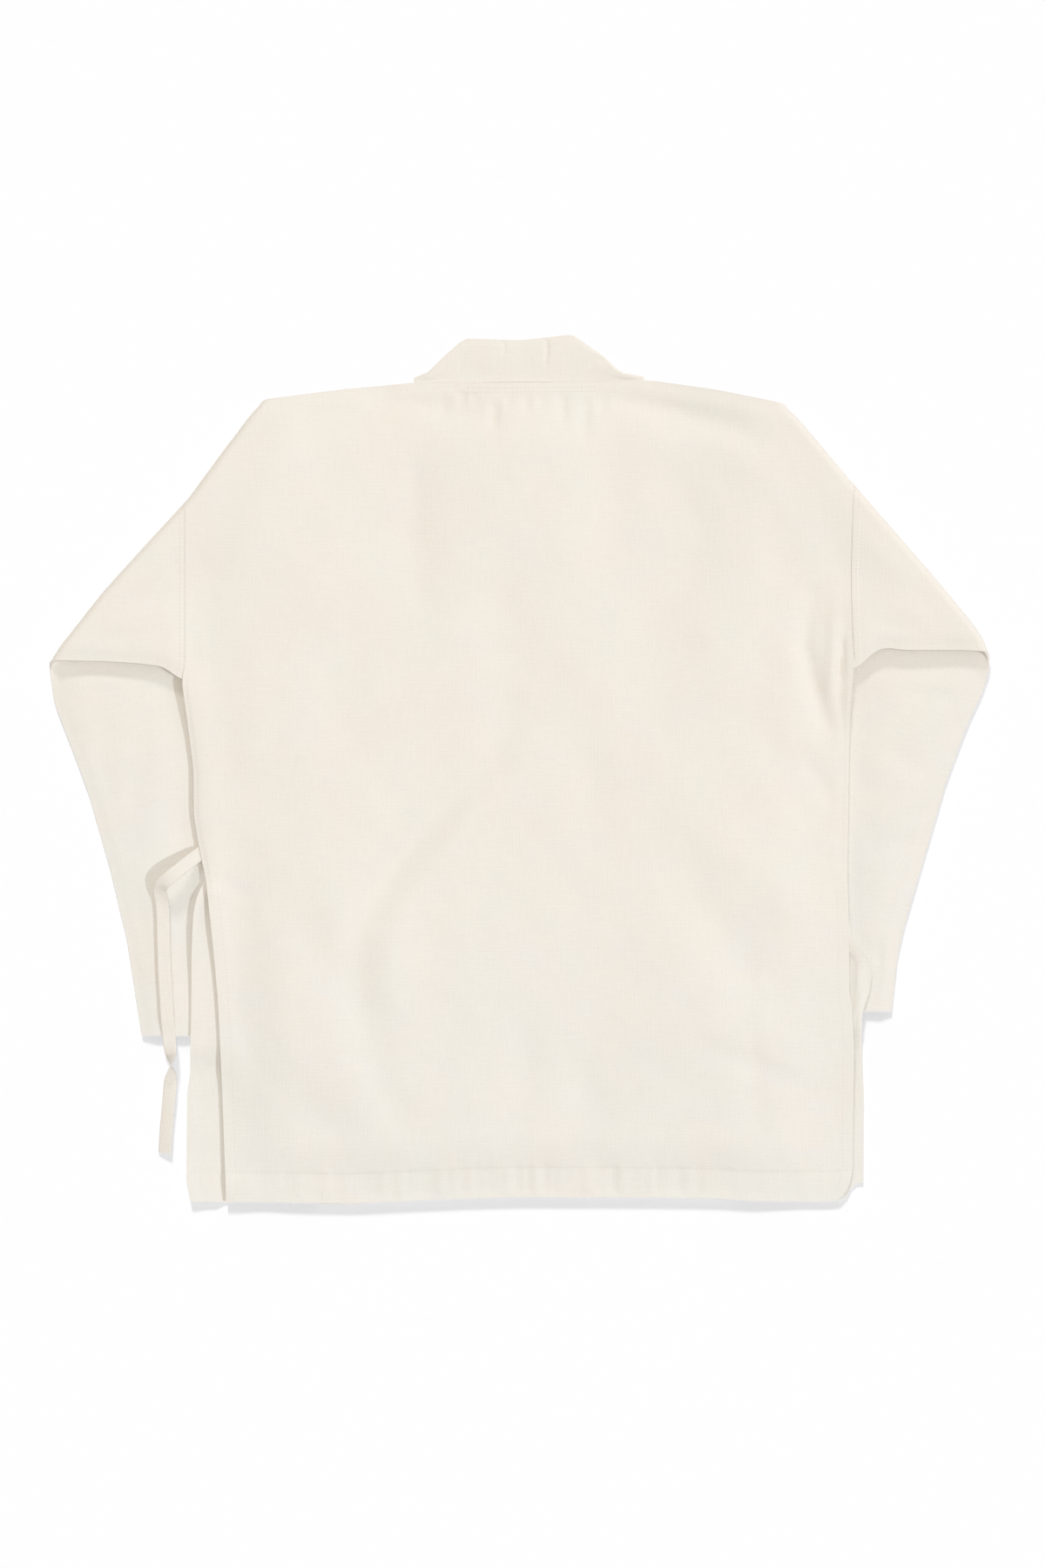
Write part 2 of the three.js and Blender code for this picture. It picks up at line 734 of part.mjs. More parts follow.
function makeCollarBack() {
  const first = COLLAR_TOP[0].x;
  const last = COLLAR_TOP[COLLAR_TOP.length - 1].x;
  const sheet = flatSheet(evenly(22), evenly(4), (u, v) => {
    const x = mix(first, last, u);
    const low = topEdge(x) + SEAM_GAP;
    return { x, y: mix(low, lookup(COLLAR_TOP, 'x', x, 'y'), v) };
  });
  const floor = (p) => BACK_OVER_FRONT + COLLAR_ROLL * smooth(p.v);
  const under = (p) => new THREE.Vector3(p.x, p.y, floor(p));
  const over = (p) => new THREE.Vector3(p.x, p.y, floor(p) + COLLAR_WALL);
  return wall(sheet, under, over);
}

function makeSleeve(sleeve) {
  const { side, overarm, underarm, cuffOut } = sleeve;
  const column = side < 0 ? 'left' : 'right';
  const armhole = (y) => Math.abs(lookup(BACK_SIDES, 'y', y, column)) + ARMHOLE_GAP;
  const sheet = flatSheet(evenly(17), evenly(9), (u, v) => {
    const lowOut = mix(armhole(underarm[0].y), cuffOut, u);
    const low = { out: lowOut, y: lookup(underarm, 'out', lowOut, 'y') };
    const high = { out: mix(armhole(overarm.start), overarm.cuffOut, u), y: mix(overarm.start, overarm.cuff, u) };
    const y = mix(low.y, high.y, v);
    const straight = mix(low.out, high.out, v);
    const seam = armhole(y) - mix(armhole(low.y), armhole(high.y), v);
    return { x: side * (straight + (u === 0 ? seam : 0)), y };
  });
  const frontLow = (p) => frontFloor(p.x, p.y);
  const backTop = (p) => frontFloor(p.x, p.y) + SLEEVE_LAYERS + CLOTH;
  return flatTube(cutAtFolds(sheet), { frontLow, backTop, round: 0.9 });
}

// A flat tape along a row of stations, each with its heading in degrees
function makeTape(stations, middleAt) {
  const skin = new Skin();
  const corner = (s, sideways, up) => {
    const heading = THREE.MathUtils.degToRad(s.turn);
    const reach = (TIE_WIDTH / 2) * sideways;
    const x = s.x - Math.sin(heading) * reach;
    const y = s.y + Math.cos(heading) * reach;
    return new THREE.Vector3(x, y, middleAt(s, x, y) + (TIE_WALL / 2) * up);
  };
  const rings = [[-1, -1], [1, -1], [1, 1], [-1, 1]];
  const at = rings.map(([sideways, up]) => skin.layer(stations, (s) => corner(s, sideways, up)));
  for (let i = 0; i + 1 < stations.length; i += 1) {
    at.forEach((low, k) => {
      const high = at[(k + 1) % at.length];
      skin.face(low(i), high(i), high(i + 1), low(i + 1));
    });
  }
  const last = stations.length - 1;
  skin.face(...[...at].reverse().map((edge) => edge(0)));
  skin.face(...at.map((edge) => edge(last)));
  return skin.geometry();
}

// The mate tie lies on the left front beside the edge of the right lapel band
function frontTieStations() {
  const { top, length, offEdge, stations } = FRONT_TIE;
  return evenly(stations).map((t) => {
    const y = top - length * t;
    const x = lookup(LAPEL_EDGES, 'y', y, 'right') - offEdge;
    const ahead = lookup(LAPEL_EDGES, 'y', y - 1, 'right') - offEdge;
    const turn = THREE.MathUtils.radToDeg(Math.atan2(-1, ahead - x));
    return { x, y, turn };
  });
}

const jacket = new THREE.Group();

function add(name, geometry, color) {
  const material = new THREE.MeshStandardMaterial({ color, roughness: 0.9, metalness: 0 });
  const mesh = new THREE.Mesh(geometry, material);
  mesh.name = name;
  jacket.add(mesh);
}

add('back_panel', makeBack(), ECRU);
add('front_left', makeLeftFront(), ECRU);
add('front_right', makeRightFront(), ECRU);
add('collar_back', makeCollarBack(), ECRU_BAND);
add('lapel_left', makeLapel(-1, frontFloor), ECRU_BAND);
add('lapel_right', makeLapel(1, rightFrontFloor), ECRU_BAND);
add('sleeve_left', makeSleeve(SLEEVES[0]), ECRU);
add('sleeve_right', makeSleeve(SLEEVES[1]), ECRU);
add('tie_side', makeTape(SIDE_TIE, (s) => s.z), TIE_COLOUR);
add('tie_front', makeTape(frontTieStations(), (s, x, y) => frontFloor(x, y) + TIE_ON_FRONT), TIE_COLOUR);

// The origin is the middle of the outline on the surface
const box = new THREE.Box3().setFromObject(jacket);
jacket.position.set(-(box.min.x + box.max.x) / 2, -(box.min.y + box.max.y) / 2, -box.min.z);
jacket.updateMatrixWorld(true);

export default jacket;
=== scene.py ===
# Martial arts jacket laid face down: its cloth, seams and ties, with a pale floor and soft light.
# Drawing sizes are in millimetres, in the jacket's own drawing, and MM turns them into metres.
import math

import bmesh
import bpy
import numpy as np
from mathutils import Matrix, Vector


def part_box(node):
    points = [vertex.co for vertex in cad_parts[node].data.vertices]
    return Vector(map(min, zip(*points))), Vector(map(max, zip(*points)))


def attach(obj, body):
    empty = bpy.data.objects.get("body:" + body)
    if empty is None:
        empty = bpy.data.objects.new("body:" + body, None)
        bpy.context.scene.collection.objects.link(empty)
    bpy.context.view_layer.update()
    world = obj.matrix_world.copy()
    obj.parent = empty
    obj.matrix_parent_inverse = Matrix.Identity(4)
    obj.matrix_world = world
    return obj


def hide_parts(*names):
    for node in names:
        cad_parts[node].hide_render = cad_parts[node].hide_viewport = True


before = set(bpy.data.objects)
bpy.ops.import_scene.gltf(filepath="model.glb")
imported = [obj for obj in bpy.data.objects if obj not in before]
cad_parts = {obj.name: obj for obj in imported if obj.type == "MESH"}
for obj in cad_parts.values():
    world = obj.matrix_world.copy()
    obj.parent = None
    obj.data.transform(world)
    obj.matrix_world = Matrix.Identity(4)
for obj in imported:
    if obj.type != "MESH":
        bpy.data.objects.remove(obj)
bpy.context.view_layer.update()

MM = 0.001


def columns(names, *rows):
    """A short table with named columns."""
    return {name: np.array([row[i] for row in rows], float) for i, name in enumerate(names.split())}


# Cloth
CLOTH = 1.1
BAND_WALL = 2.0
BAND_ACROSS = 42
COLLAR_WALL = 2.0
COLLAR_ROLL = 0.9
SEAM_GAP = 0.3
ARMHOLE_GAP = 0.15
HEM_DEPTH = 28
HEM_EXTRA = 0.5
STITCH_GROOVE = 0.22
CUFF_DEPTH = 50

# Folds that turn the sleeves under
FOLD_CENTRE = 7.5
FOLD_RADIUS = 7.5
FOLD_NEUTRAL = 5.2
FOLD_STEPS = 10
SHARP_EDGE = math.radians(62)

# Heights of the layers
SLEEVE_LAYERS = 3.4
UNDER_SLEEVE_LIFT = 4.9
FOLD_LIFT = 5.5
UNDERARM_LIFT = 6
OVERLAP_LIFT = 3.4
CLOSE_AT_HEM = 0.6
BACK_AT_HEM = 2.15
BACK_OVER_FRONT = 2.8
BACK_LOFT = 5.0
DRAPE = 85
SEAMED_EDGES = 1.5

SEAM_LIFT = dict(left=3.6, right=0.9)
SEAM_ROLL = 1.4
FRONT_FLARE = 4.6
FRONT_CORNER_RISE = 14
HEM_SHARE = 0.08

# Levels and soft steps
NECK_HALF = 110
VENT_TOP = -103
ARMPIT = 84
SLEEVE_RAMP = (12, 34)
CUFF_RAMP = (4, 34)
WRAP_RAMP = (5, 29)
FOLD_RAMP = (12, 70)
SEAM_RAMP = 15

# Fold lines from shoulder to elbow, with how far each runs inside its chord
FOLDS = [
    dict(
        side=-1,
        shoulder=(-241.7, 347.9),
        elbow=(-438.5, 106),
        inset=columns("along by", (0, 0), (60, 2.5), (116, 5.5), (180, 1.5), (234, -1.3), (312, 0)),
    ),
    dict(
        side=1,
        shoulder=(253.6, 343),
        elbow=(441.8, 123.6),
        inset=columns(
            "along by",
            (0, 0), (98, 1.3), (209, 0.3), (265, 1.2), (285, 3), (300, 7), (312, 8.5), (338, 6),
            (369, 3.5), (445, 0),
        ),
    ),
]

# Side edges of the back and of the fronts, from hem to shoulder
UPPER_SIDES = [
    (-42, -304.4, 310.5), (0, -304.6, 311), (54, -311.4, 312), (84, -315.4, 314.4), (100, -312.3, 315.6),
    (135, -312.3, 314), (180, -312.3, 312.8), (230, -312.3, 313.8), (290, -312.3, 315.6), (350, -312.3, 316),
]
BACK_SIDES = columns(
    "y left right",
    (-410, -274.5, 293), (-404, -274.5, 303), (-396, -274.6, 309), (-388, -274.8, 312.5),
    (-376, -275.4, 315), (-347, -276.5, 315.1),
    (-265, -279.4, 315.9), (-223, -281.5, 314.3), (-210, -282.3, 311.4), (-160, -286.8, 311.2),
    (-103, -292.8, 309.6), (-70, -299.9, 310), *UPPER_SIDES,
)
FRONT_SIDES = columns(
    "y left right",
    (-410, -307, 322), (-388, -312, 325), (-301, -311.2, 325.4), (-287, -308.5, 324.6),
    (-229, -307.2, 323.3), (-213, -307.1, 329), (-200, -307, 332.3), (-181, -306.8, 332.3),
    (-167, -306.5, 315), (-134, -304.8, 309.8), (-117, -301.1, 309.6), (-103, -294, 309.6),
    (-70, -299.9, 310), *UPPER_SIDES,
)
TOP_EDGE = columns(
    "x y",
    (-316, 339.6), (-245, 347), (-160, 358.5), (-97, 364.5), (0, 364.5),
    (99, 366), (127, 366.5), (185, 357.7), (254, 343.4), (318, 341.2),
)
HEM_EDGE = columns(
    "x y",
    (-312, -406), (-237, -406), (-155, -407.5), (-106, -405), (-41, -402.2), (0, -401.2),
    (123, -401.5), (189, -402.5), (222, -405), (290, -405.5), (325, -402),
)
LAPEL_EDGES = columns(
    "y left right",
    (-410, 190, -190), (-254, 177, -177), (-164, 162, -162), (-97, 140, -140), (402, -52, 52),
)
LAPEL_TOP = columns("x y", (38, 398), (52, 400), (94, 364))
COLLAR_TOP = columns(
    "x y",
    (-97, 368.5), (-84, 374), (-68, 389.7), (-54, 402), (-47, 405.3), (1, 403.7), (24, 406),
    (47, 408.6), (53, 407.8), (65, 399.6), (81, 388), (93, 376.6), (99, 373), (118, 369.6),
)

# How far the back's free edge stands off the left front
VENT_LIFT = columns(
    "y by",
    (-410, 1.0), (-400, 2.2), (-388, 3.4), (-374, 1.4), (-300, 1.0), (-220, 1.0),
    (-180, 1.9), (-150, 3.5), (-115, 4.4),
)

# Sleeves as they are before they are folded under
SLEEVES = [
    dict(
        side=-1,
        column="left",
        overarm_start=340,
        overarm_cuff=(841, 281),
        cuff_out=804.4,
        hidden_edge=(-241.7, 347.9, 0.0945),
        cuff_level=-252,
        underarm=columns(
            "out y",
            (312, 84), (322, 88), (333, 97), (350, 99.4), (385, 102), (441, 103), (482, 100),
            (534, 108.7), (574, 114.5), (645, 119.6), (714, 121.6), (804.4, 117),
        ),
    ),
    dict(
        side=1,
        column="right",
        overarm_start=341.2,
        overarm_cuff=(828.6, 326.5),
        cuff_out=802.8,
        hidden_edge=(253.6, 343, -0.1247),
        cuff_level=-228,
        underarm=columns(
            "out y",
            (312, 94), (319, 96), (335, 111.7), (346, 115), (359, 112.5), (421, 112.5), (444, 110.7),
            (458, 107.6), (479, 110.8), (510, 121), (533, 127), (577, 137.6), (722, 160.5),
            (751, 162.4), (802.8, 160.4),
        ),
    ),
]

# Creases of the back: width, depth (negative for a ridge) and points along the run
BACK_CREASES = [
    (
        15, 1.9,
        (-8, 60), (-26, 8), (-68, -30), (-110, -80), (-138, -122), (-150, -150), (-150, -215), (-144, -268),
    ),
    (14, -1.5, (20, 20), (-2, -12), (-45, -48), (-84, -98), (-108, -135), (-119, -160), (-118, -215)),
    (18, 1, (-130, -230), (-131, -290), (-94, -349)),
    (30, 2.2, (140, -60), (170, -120), (214, -181), (262, -232)),
    (22, -1, (210, -70), (250, -120), (282, -150)),
    (11, -0.8, (231, -180), (232, -250), (236, -330)),
    (20, 0.9, (-271, -120), (-258, -218), (-238, -270), (-212, -303), (-173, -342), (-160, -375)),
    (10, -0.35, (-258, -205), (-240, -262), (-216, -296), (-192, -322)),
    (24, 1.3, (-206, -139), (-166, -192), (-147, -257)),
    (14, 0.9, (231, -224), (227, -283), (231, -349)),
    (12, 0.7, (168, -257), (221, -277), (273, -297)),
    (16, 0.8, (4, -231), (8, -310)),
    (20, 0.8, (60, -270), (70, -345)),
    (22, 1.3, (252, 270), (250, 215), (246, 130)),
    (20, 1.3, (-94, 287), (-99, 228), (-90, 150)),
    (22, 1, (-179, 350), (-189, 300), (-200, 230)),
    (13, 1.8, (83, 356), (129, 340), (195, 324), (222, 312)),
    (9, 2.4, (276, 163), (268, 117), (276, 84), (289, 44)),
    (8, -1.6, (300, 160), (297, 110), (292, 60)),
    (18, 1, (224, 51), (254, -8), (270, -60)),
    (10, 0.9, (267, 18), (293, -28)),
    (30, 0.9, (-238, 18), (-232, -60)),
    (26, 0.8, (-15, 189), (-9, 97)),
    (24, 0.8, (83, 320), (90, 241), (80, 170)),
    (22, 0.8, (57, 31), (70, -60)),
    (7, 0.35, (-290, -106), (-252, -118)),
    (30, 0.8, (-180, 120), (-160, 20), (-190, -60)),
    (20, 0.7, (140, 290), (170, 230), (165, 150)),
    (10, 0.9, (-130, 350), (-90, 344), (-30, 332)),
    (3.6, 6, (305, 122), (304.5, 92), (305, 66), (309, 38)),
]

# Small gathers that hang from the neck seam
NECK_GATHERS = columns(
    "x top long wide deep",
    (-70, 352, 26, 3.4, 0.5), (-52, 355, 17, 2.6, 0.8), (-41, 353, 14, 2.4, 0.6), (-22, 345, 30, 3.2, 0.9),
    (-8, 352, 12, 2.4, 0.5), (8, 352, 17, 2.6, 0.8), (22, 351, 11, 2.4, 0.5), (42, 352, 30, 3, 1),
    (63, 346, 44, 3.6, 0.9), (80, 350, 20, 3, 0.5), (-97, 288, 52, 6, 0.35), (36, 268, 26, 5, 0.2),
)

# Creases of the sleeves, in the place where each lies
UPPER_SLEEVE_CREASES = [
    (13, 1.3, (-324, 248), (-345, 200), (-370, 156)),
    (9, 1, (-334, 135), (-372, 122), (-415, 116)),
    (11, 1.1, (-345, 215), (-385, 160)),
    (9, 1.2, (-404, 146), (-368, 156), (-326, 170)),
    (12, 1.2, (332, 190), (385, 160), (421, 128)),
    (10, 1, (326, 241), (358, 208)),
    (8, 0.9, (330, 140), (380, 130)),
]
LOWER_SLEEVE_CREASES = [
    (12, 1.2, (-402, 71), (-389, 38), (-383, -21)),
    (11, 1, (-347, 45), (-363, -21), (-357, -87)),
    (12, 0.8, (-366, -120), (-352, -180)),
    (9, 1, (358, 76), (424, 66)),
    (10, 1.2, (326, -80), (385, -60)),
    (5, 2.6, (341, -168), (338, -196), (333, -216), (327, -232)),
    (8, -2.6, (354, -160), (350, -195), (345, -226)),
    (12, 0.9, (345, 20), (392, -8)),
]


def smooth(t):
    s = np.clip(t, 0, 1)
    return s * s * (3 - 2 * s)


def ramp(value, low, high):
    """0 before low, 1 past high, with a soft slope between."""
    return smooth((value - low) / (high - low))


def fall(value, low, high):
    """1 before low, 0 past high."""
    return 1 - ramp(value, low, high)


def bell(distance, width):
    return np.exp(-((distance / width) ** 2))


def mix(a, b, t):
    return a + (b - a) * t


def lookup(table, key, at, column):
    """A column of a table at places in another column, with its corners eased."""
    ease = 5.0
    return sum(np.interp(at + k * ease, table[key], table[column]) for k in (-1, 0, 1)) / 3


def top_edge(x):
    return lookup(TOP_EDGE, "x", x, "y")


def hem_edge(x):
    return lookup(HEM_EDGE, "x", x, "y")


def front_hem(x):
    """The right front's corner is a little higher than the back's."""
    return hem_edge(x) + FRONT_CORNER_RISE * ramp(x, 305, 319)


def fold_place(fold, x, y):
    """A fold's directions, and how far along and past it each place lies."""
    start = np.array(fold["shoulder"], float)
    run = np.array(fold["elbow"], float) - start
    run /= np.linalg.norm(run)
    out = fold["side"] * np.array([-run[1], run[0]])
    along = (x - start[0]) * run[0] + (y - start[1]) * run[1]
    inset = lookup(fold["inset"], "along", along, "by")
    past = (x - start[0]) * out[0] + (y - start[1]) * out[1] + inset
    return start, run, out, along, inset, past


def past_fold(fold, x, y):
    return fold_place(fold, x, y)[-1]


def place(x, y, z):
    return np.stack([x, y, z], axis=-1)


def bend(x, y, z):
    """Turn what lies past a fold under the rest."""
    for fold in FOLDS:
        start, run, out, along, inset, past = fold_place(fold, x, y)
        into = past + FOLD_RADIUS
        arc = math.pi * FOLD_NEUTRAL
        angle = np.clip(into, 0, arc) / FOLD_NEUTRAL
        radius = z - FOLD_CENTRE
        across = -FOLD_RADIUS + radius * np.sin(angle) - np.maximum(0, into - arc) - inset
        turned = into > 0
        x = np.where(turned, start[0] + run[0] * along + out[0] * across, x)
        y = np.where(turned, start[1] + run[1] * along + out[1] * across, y)
        z = np.where(turned, FOLD_CENTRE + radius * np.cos(angle), z)
    return place(x, y, z)


def sleeve_below(x, y, drape=0):
    """Lift over the folded sleeves: cloth that drapes comes down over a wider stretch."""
    lift = 0
    for sleeve in SLEEVES:
        edge_x, edge_y, slope = sleeve["hidden_edge"]
        inside = (x - edge_x - (edge_y - y) * slope) * sleeve["side"]
        level = sleeve["cuff_level"]
        above_cuff = ramp(y, level - CUFF_RAMP[1] - drape, level - CUFF_RAMP[0])
        over = ramp(inside, -SLEEVE_RAMP[1] - drape, -SLEEVE_RAMP[0])
        lift = lift + UNDER_SLEEVE_LIFT * over * above_cuff
    return lift


def near_fold(x, y, drape=0):
    lift = 0
    for fold in FOLDS:
        past = past_fold(fold, x, y)
        level = fall(y, 115, 200) * ramp(y, 15, 80)
        armpit = ramp(x * fold["side"], 285, 330) * ramp(-past, 20, 70)
        at_fold = FOLD_LIFT * ramp(past, -FOLD_RAMP[1] - 0.4 * drape, -FOLD_RAMP[0])
        lift = lift + at_fold + UNDERARM_LIFT * level * armpit
    return lift


def front_floor(x, y, drape=0):
    return sleeve_below(x, y, drape) + near_fold(x, y, drape)


def seam_lift(x, y):
    """The side seams stand a little off the sleeves, more so on the wearer's left."""
    levels = ramp(y, VENT_TOP - 25, VENT_TOP + 8) * fall(y, 70, 104)
    left = SEAM_LIFT["left"] * fall(left_side(x, y), -2, 42)
    right = SEAM_LIFT["right"] * fall(right_side(x, y), -2, 42)
    rolled = SEAM_ROLL * fall(left_side(x, y), -1, 7)
    return levels * (left + right - rolled)


def front_flare(x, y):
    """Below the side seams the fronts' free edges stand off what they lie on."""
    levels = fall(y, VENT_TOP - 22, VENT_TOP) * mix(0.8, FRONT_FLARE, ramp(y, -225, -140))
    left = fall(x - front_edge(y, "left"), 0, 15)
    right = fall(front_edge(y, "right") - x, 0, 15) * ramp(y, -240, -205)
    return levels * (left + 0.7 * right) + cuff_ridge(x, y) + corner_curl(x, y)


def cuff_ridge(x, y):
    """The right front's edge rises in a ridge as it passes over the cuff."""
    across, width, high = 320.5, 4.5, 2.8
    ridge = bell(x - across, width) * ramp(y, -276, -240) * fall(y, -184, -154)
    return high * ridge


def corner_curl(x, y):
    """The left front's corner lifts a little where it shows past the back."""
    high = 2.0
    return high * fall(left_side(x, y), -12, -2) * fall(y - hem_edge(x), 2, 55)


def vent_lift(x, y):
    """Below the side seams the back's free edges stand off the fronts."""
    levels = lookup(VENT_LIFT, "y", y, "by") * fall(y, VENT_TOP - 16, VENT_TOP + 4)
    left = fall(left_side(x, y), 0, 40)
    right = fall(right_side(x, y), 0, 40)
    return levels * (left + 0.3 * right)


def lapel_edge(y, column):
    return np.interp(y, LAPEL_EDGES["y"], LAPEL_EDGES[column])


def overlap_lift(x, y, drape=0):
    close = mix(CLOSE_AT_HEM, 1, ramp(y - hem_edge(x), 2, 60))
    return OVERLAP_LIFT * close * fall(x - lapel_edge(y, "left"), WRAP_RAMP[0], WRAP_RAMP[1] + drape)


def right_front_floor(x, y):
    return front_floor(x, y) + overlap_lift(x, y)


def near_run(x, y, run):
    """Distance to a run of points, and the share of the run where it is nearest."""
    nearest = np.full(np.shape(x), np.inf)
    share = np.zeros(np.shape(x))
    for i, ((ax, ay), (bx, by)) in enumerate(zip(run, run[1:])):
        long = (bx - ax) ** 2 + (by - ay) ** 2
        t = np.clip(((x - ax) * (bx - ax) + (y - ay) * (by - ay)) / long, 0, 1)
        far = np.hypot(x - mix(ax, bx, t), y - mix(ay, by, t))
        closer = far < nearest
        nearest = np.where(closer, far, nearest)
        share = np.where(closer, (i + t) / (len(run) - 1), share)
    return nearest, share


def creases(x, y, table):
    """Height of soft troughs and ridges, each fading towards its ends."""
    total = np.zeros(np.shape(x))
    for width, depth, *run in table:
        far, share = near_run(x, y, run)
        ends = 0.35 + 0.65 * np.sin(np.pi * np.clip(share, 0, 1))
        total = total - depth * ends * bell(far, width)
    return total


def drift(x, y, size, seed):
    """Smooth noise from -1 to 1 whose bumps are about size across."""
    count = 96
    lattice = np.random.default_rng(seed).uniform(-1, 1, (count, count))
    gx = np.asarray(x) / size + 40
    gy = np.asarray(y) / size + 40
    ix = np.floor(gx).astype(int)
    iy = np.floor(gy).astype(int)
    fx = smooth(gx - ix)
    fy = smooth(gy - iy)

    def across(row):
        return mix(lattice[row % count, ix % count], lattice[row % count, (ix + 1) % count], fx)

    return mix(across(iy), across(iy + 1), fy)


def rumple(x, y, seed):
    """The small unevenness of washed cotton."""
    turned_x = x * 0.8 + y * 0.6
    turned_y = y * 0.8 - x * 0.6
    return (
        0.9 * drift(x, y * 0.6, 62, seed)
        + 0.35 * drift(turned_x, turned_y * 0.6, 27, seed + 1)
        + 0.10 * drift(x, y, 12, seed + 2)
    )


def back_edge(y, column):
    return lookup(BACK_SIDES, "y", y, column)


def front_edge(y, column):
    return lookup(FRONT_SIDES, "y", y, column)


def left_side(x, y):
    return x - back_edge(y, "left")


def right_side(x, y):
    return back_edge(y, "right") - x


def clear_of_folds(x, y, near, far):
    """0 close to a fold, 1 past the far distance."""
    clear = 1
    for fold in FOLDS:
        clear = clear * ramp(-past_fold(fold, x, y), near, far)
    return clear


def back_floor(x, y):
    """Underside of the back: loose over the fronts, close to them along the seams."""
    to_side = np.minimum(left_side(x, y), right_side(x, y))
    to_top = top_edge(x) - y
    to_hem = y - hem_edge(x)
    inside = ramp(to_side, 5, 70) * ramp(to_top, 5, 70) * ramp(to_hem, 5, 60)
    loose = inside * clear_of_folds(x, y, 10, 70)
    at_armhole = ramp(np.abs(x), 240, 305) * ramp(y, 70, 110)
    over_front = mix(BACK_AT_HEM, BACK_OVER_FRONT, ramp(to_hem, 2, 50))
    opened = over_front + (SLEEVE_LAYERS - BACK_OVER_FRONT) * at_armhole + loose * BACK_LOFT
    sewn_levels = ramp(y, VENT_TOP, VENT_TOP + 20) * fall(y, ARMPIT - 9, ARMPIT + 16)
    side_seam = fall(to_side, 0, SEAM_RAMP) * sewn_levels
    shoulder_seam = fall(to_top, 0, SEAM_RAMP) * ramp(np.abs(x), NECK_HALF, NECK_HALF + 20)
    seamed = np.minimum(1, side_seam + shoulder_seam)
    off_wrap = fall(lapel_edge(y, "right") - x, WRAP_RAMP[0], WRAP_RAMP[1] + DRAPE)
    over_wrap = overlap_lift(x, y, DRAPE) * off_wrap
    drape = DRAPE * (1 - ramp(np.abs(x), 235, 300) * ramp(y, 40, 100))
    drape = drape * (1 - 0.7 * fall(left_side(x, y), 0, 50) * fall(y, -215, -170))
    lifted = front_floor(x, y, drape) + seam_lift(x, y) + vent_lift(x, y) + over_wrap
    return lifted + mix(opened, SEAMED_EDGES, seamed) + back_relief(x, y, to_side, to_top, to_hem)


CREASE_STRENGTH = 2.1
GATHER_DEEP = 2.1
GATHER_WIDE = 1.35
HEM_PUCKERS = 0.85


def back_relief(x, y, to_side, to_top, to_hem):
    """Creases, gathers and puckers of the back, kept off its seams and folds."""
    free = ramp(to_side, 2, 22) * ramp(to_top, 2, 22) * ramp(to_hem, 2, 30)
    relief = np.clip(CREASE_STRENGTH * creases(x, y, BACK_CREASES), -4.6, 3) + rumple(x, y, 11)
    total = relief * free * clear_of_folds(x, y, 4, 30)
    gathers = ramp(to_top, 0, 5)
    for gx, top, long, wide, deep in zip(*NECK_GATHERS.values()):
        down = np.clip((top - y) / long, -0.15, 1.15)
        window = ramp(down, -0.15, 0.1) * fall(down, 0.35, 1.1)
        total = total - GATHER_DEEP * gathers * deep * window * bell(x - gx, GATHER_WIDE * wide)
    return total + hem_puckers(x, to_hem)


def hem_puckers(x, to_hem):
    """Short puckers between the hem's stitches and its edge, stronger in the middle."""
    window = ramp(to_hem, 1, 9) * fall(to_hem, HEM_DEPTH - 3, HEM_DEPTH + 8)
    strong = 0.35 + 0.65 * ramp(x, -200, -120) * fall(x, 130, 230)
    waves = drift(x, 0 * x, 9, 21) + 0.6 * drift(x, 0 * x + 5, 5, 22)
    return HEM_PUCKERS * window * strong * waves


def hem_extra(x, y):
    up = y - hem_edge(x)
    slack = np.where(up < HEM_DEPTH, 6, 1.2)
    groove = STITCH_GROOVE * bell(up - HEM_DEPTH, slack)
    return HEM_EXTRA * fall(up, HEM_DEPTH - 18, HEM_DEPTH) - groove


NEAR_CUT = 12


def cut_at_folds(shape):
    """Cut a flat mesh along each fold in even steps, which makes it turn smoothly."""
    arc = math.pi * FOLD_NEUTRAL
    for fold in FOLDS:
        flat = np.array([v.co for v in shape.verts])
        start, _, out, _, _, past = fold_place(fold, flat[:, 0], flat[:, 1])
        if past.max() < -FOLD_RADIUS:
            continue
        move_out(shape, fold, 1)
        for level in np.linspace(-FOLD_RADIUS, arc - FOLD_RADIUS, FOLD_STEPS + 1):
            at = start + out * level
            reach = at[0] * out[0] + at[1] * out[1]
            near = [v for v in shape.verts if abs(v.co.x * out[0] + v.co.y * out[1] - reach) < NEAR_CUT]
            faces = list({face for v in near for face in v.link_faces})
            edges = list({edge for face in faces for edge in face.edges})
            corners = list({v for face in faces for v in face.verts})
            bmesh.ops.bisect_plane(
                shape, geom=corners + edges + faces, dist=0.02,
                plane_co=(at[0], at[1], 0), plane_no=(out[0], out[1], 0),
            )
        move_out(shape, fold, -1)


def move_out(shape, fold, share):
    """Move a flat mesh's points by the fold's inset, which makes the fold straight."""
    flat = np.array([v.co for v in shape.verts])
    _, _, out, _, inset, _ = fold_place(fold, flat[:, 0], flat[:, 1])
    for v, by in zip(shape.verts, inset * share):
        v.co.x += out[0] * by
        v.co.y += out[1] * by


def add_object(name, data):
    made = bpy.data.objects.new(name, data)
    bpy.context.scene.collection.objects.link(made)
    return made


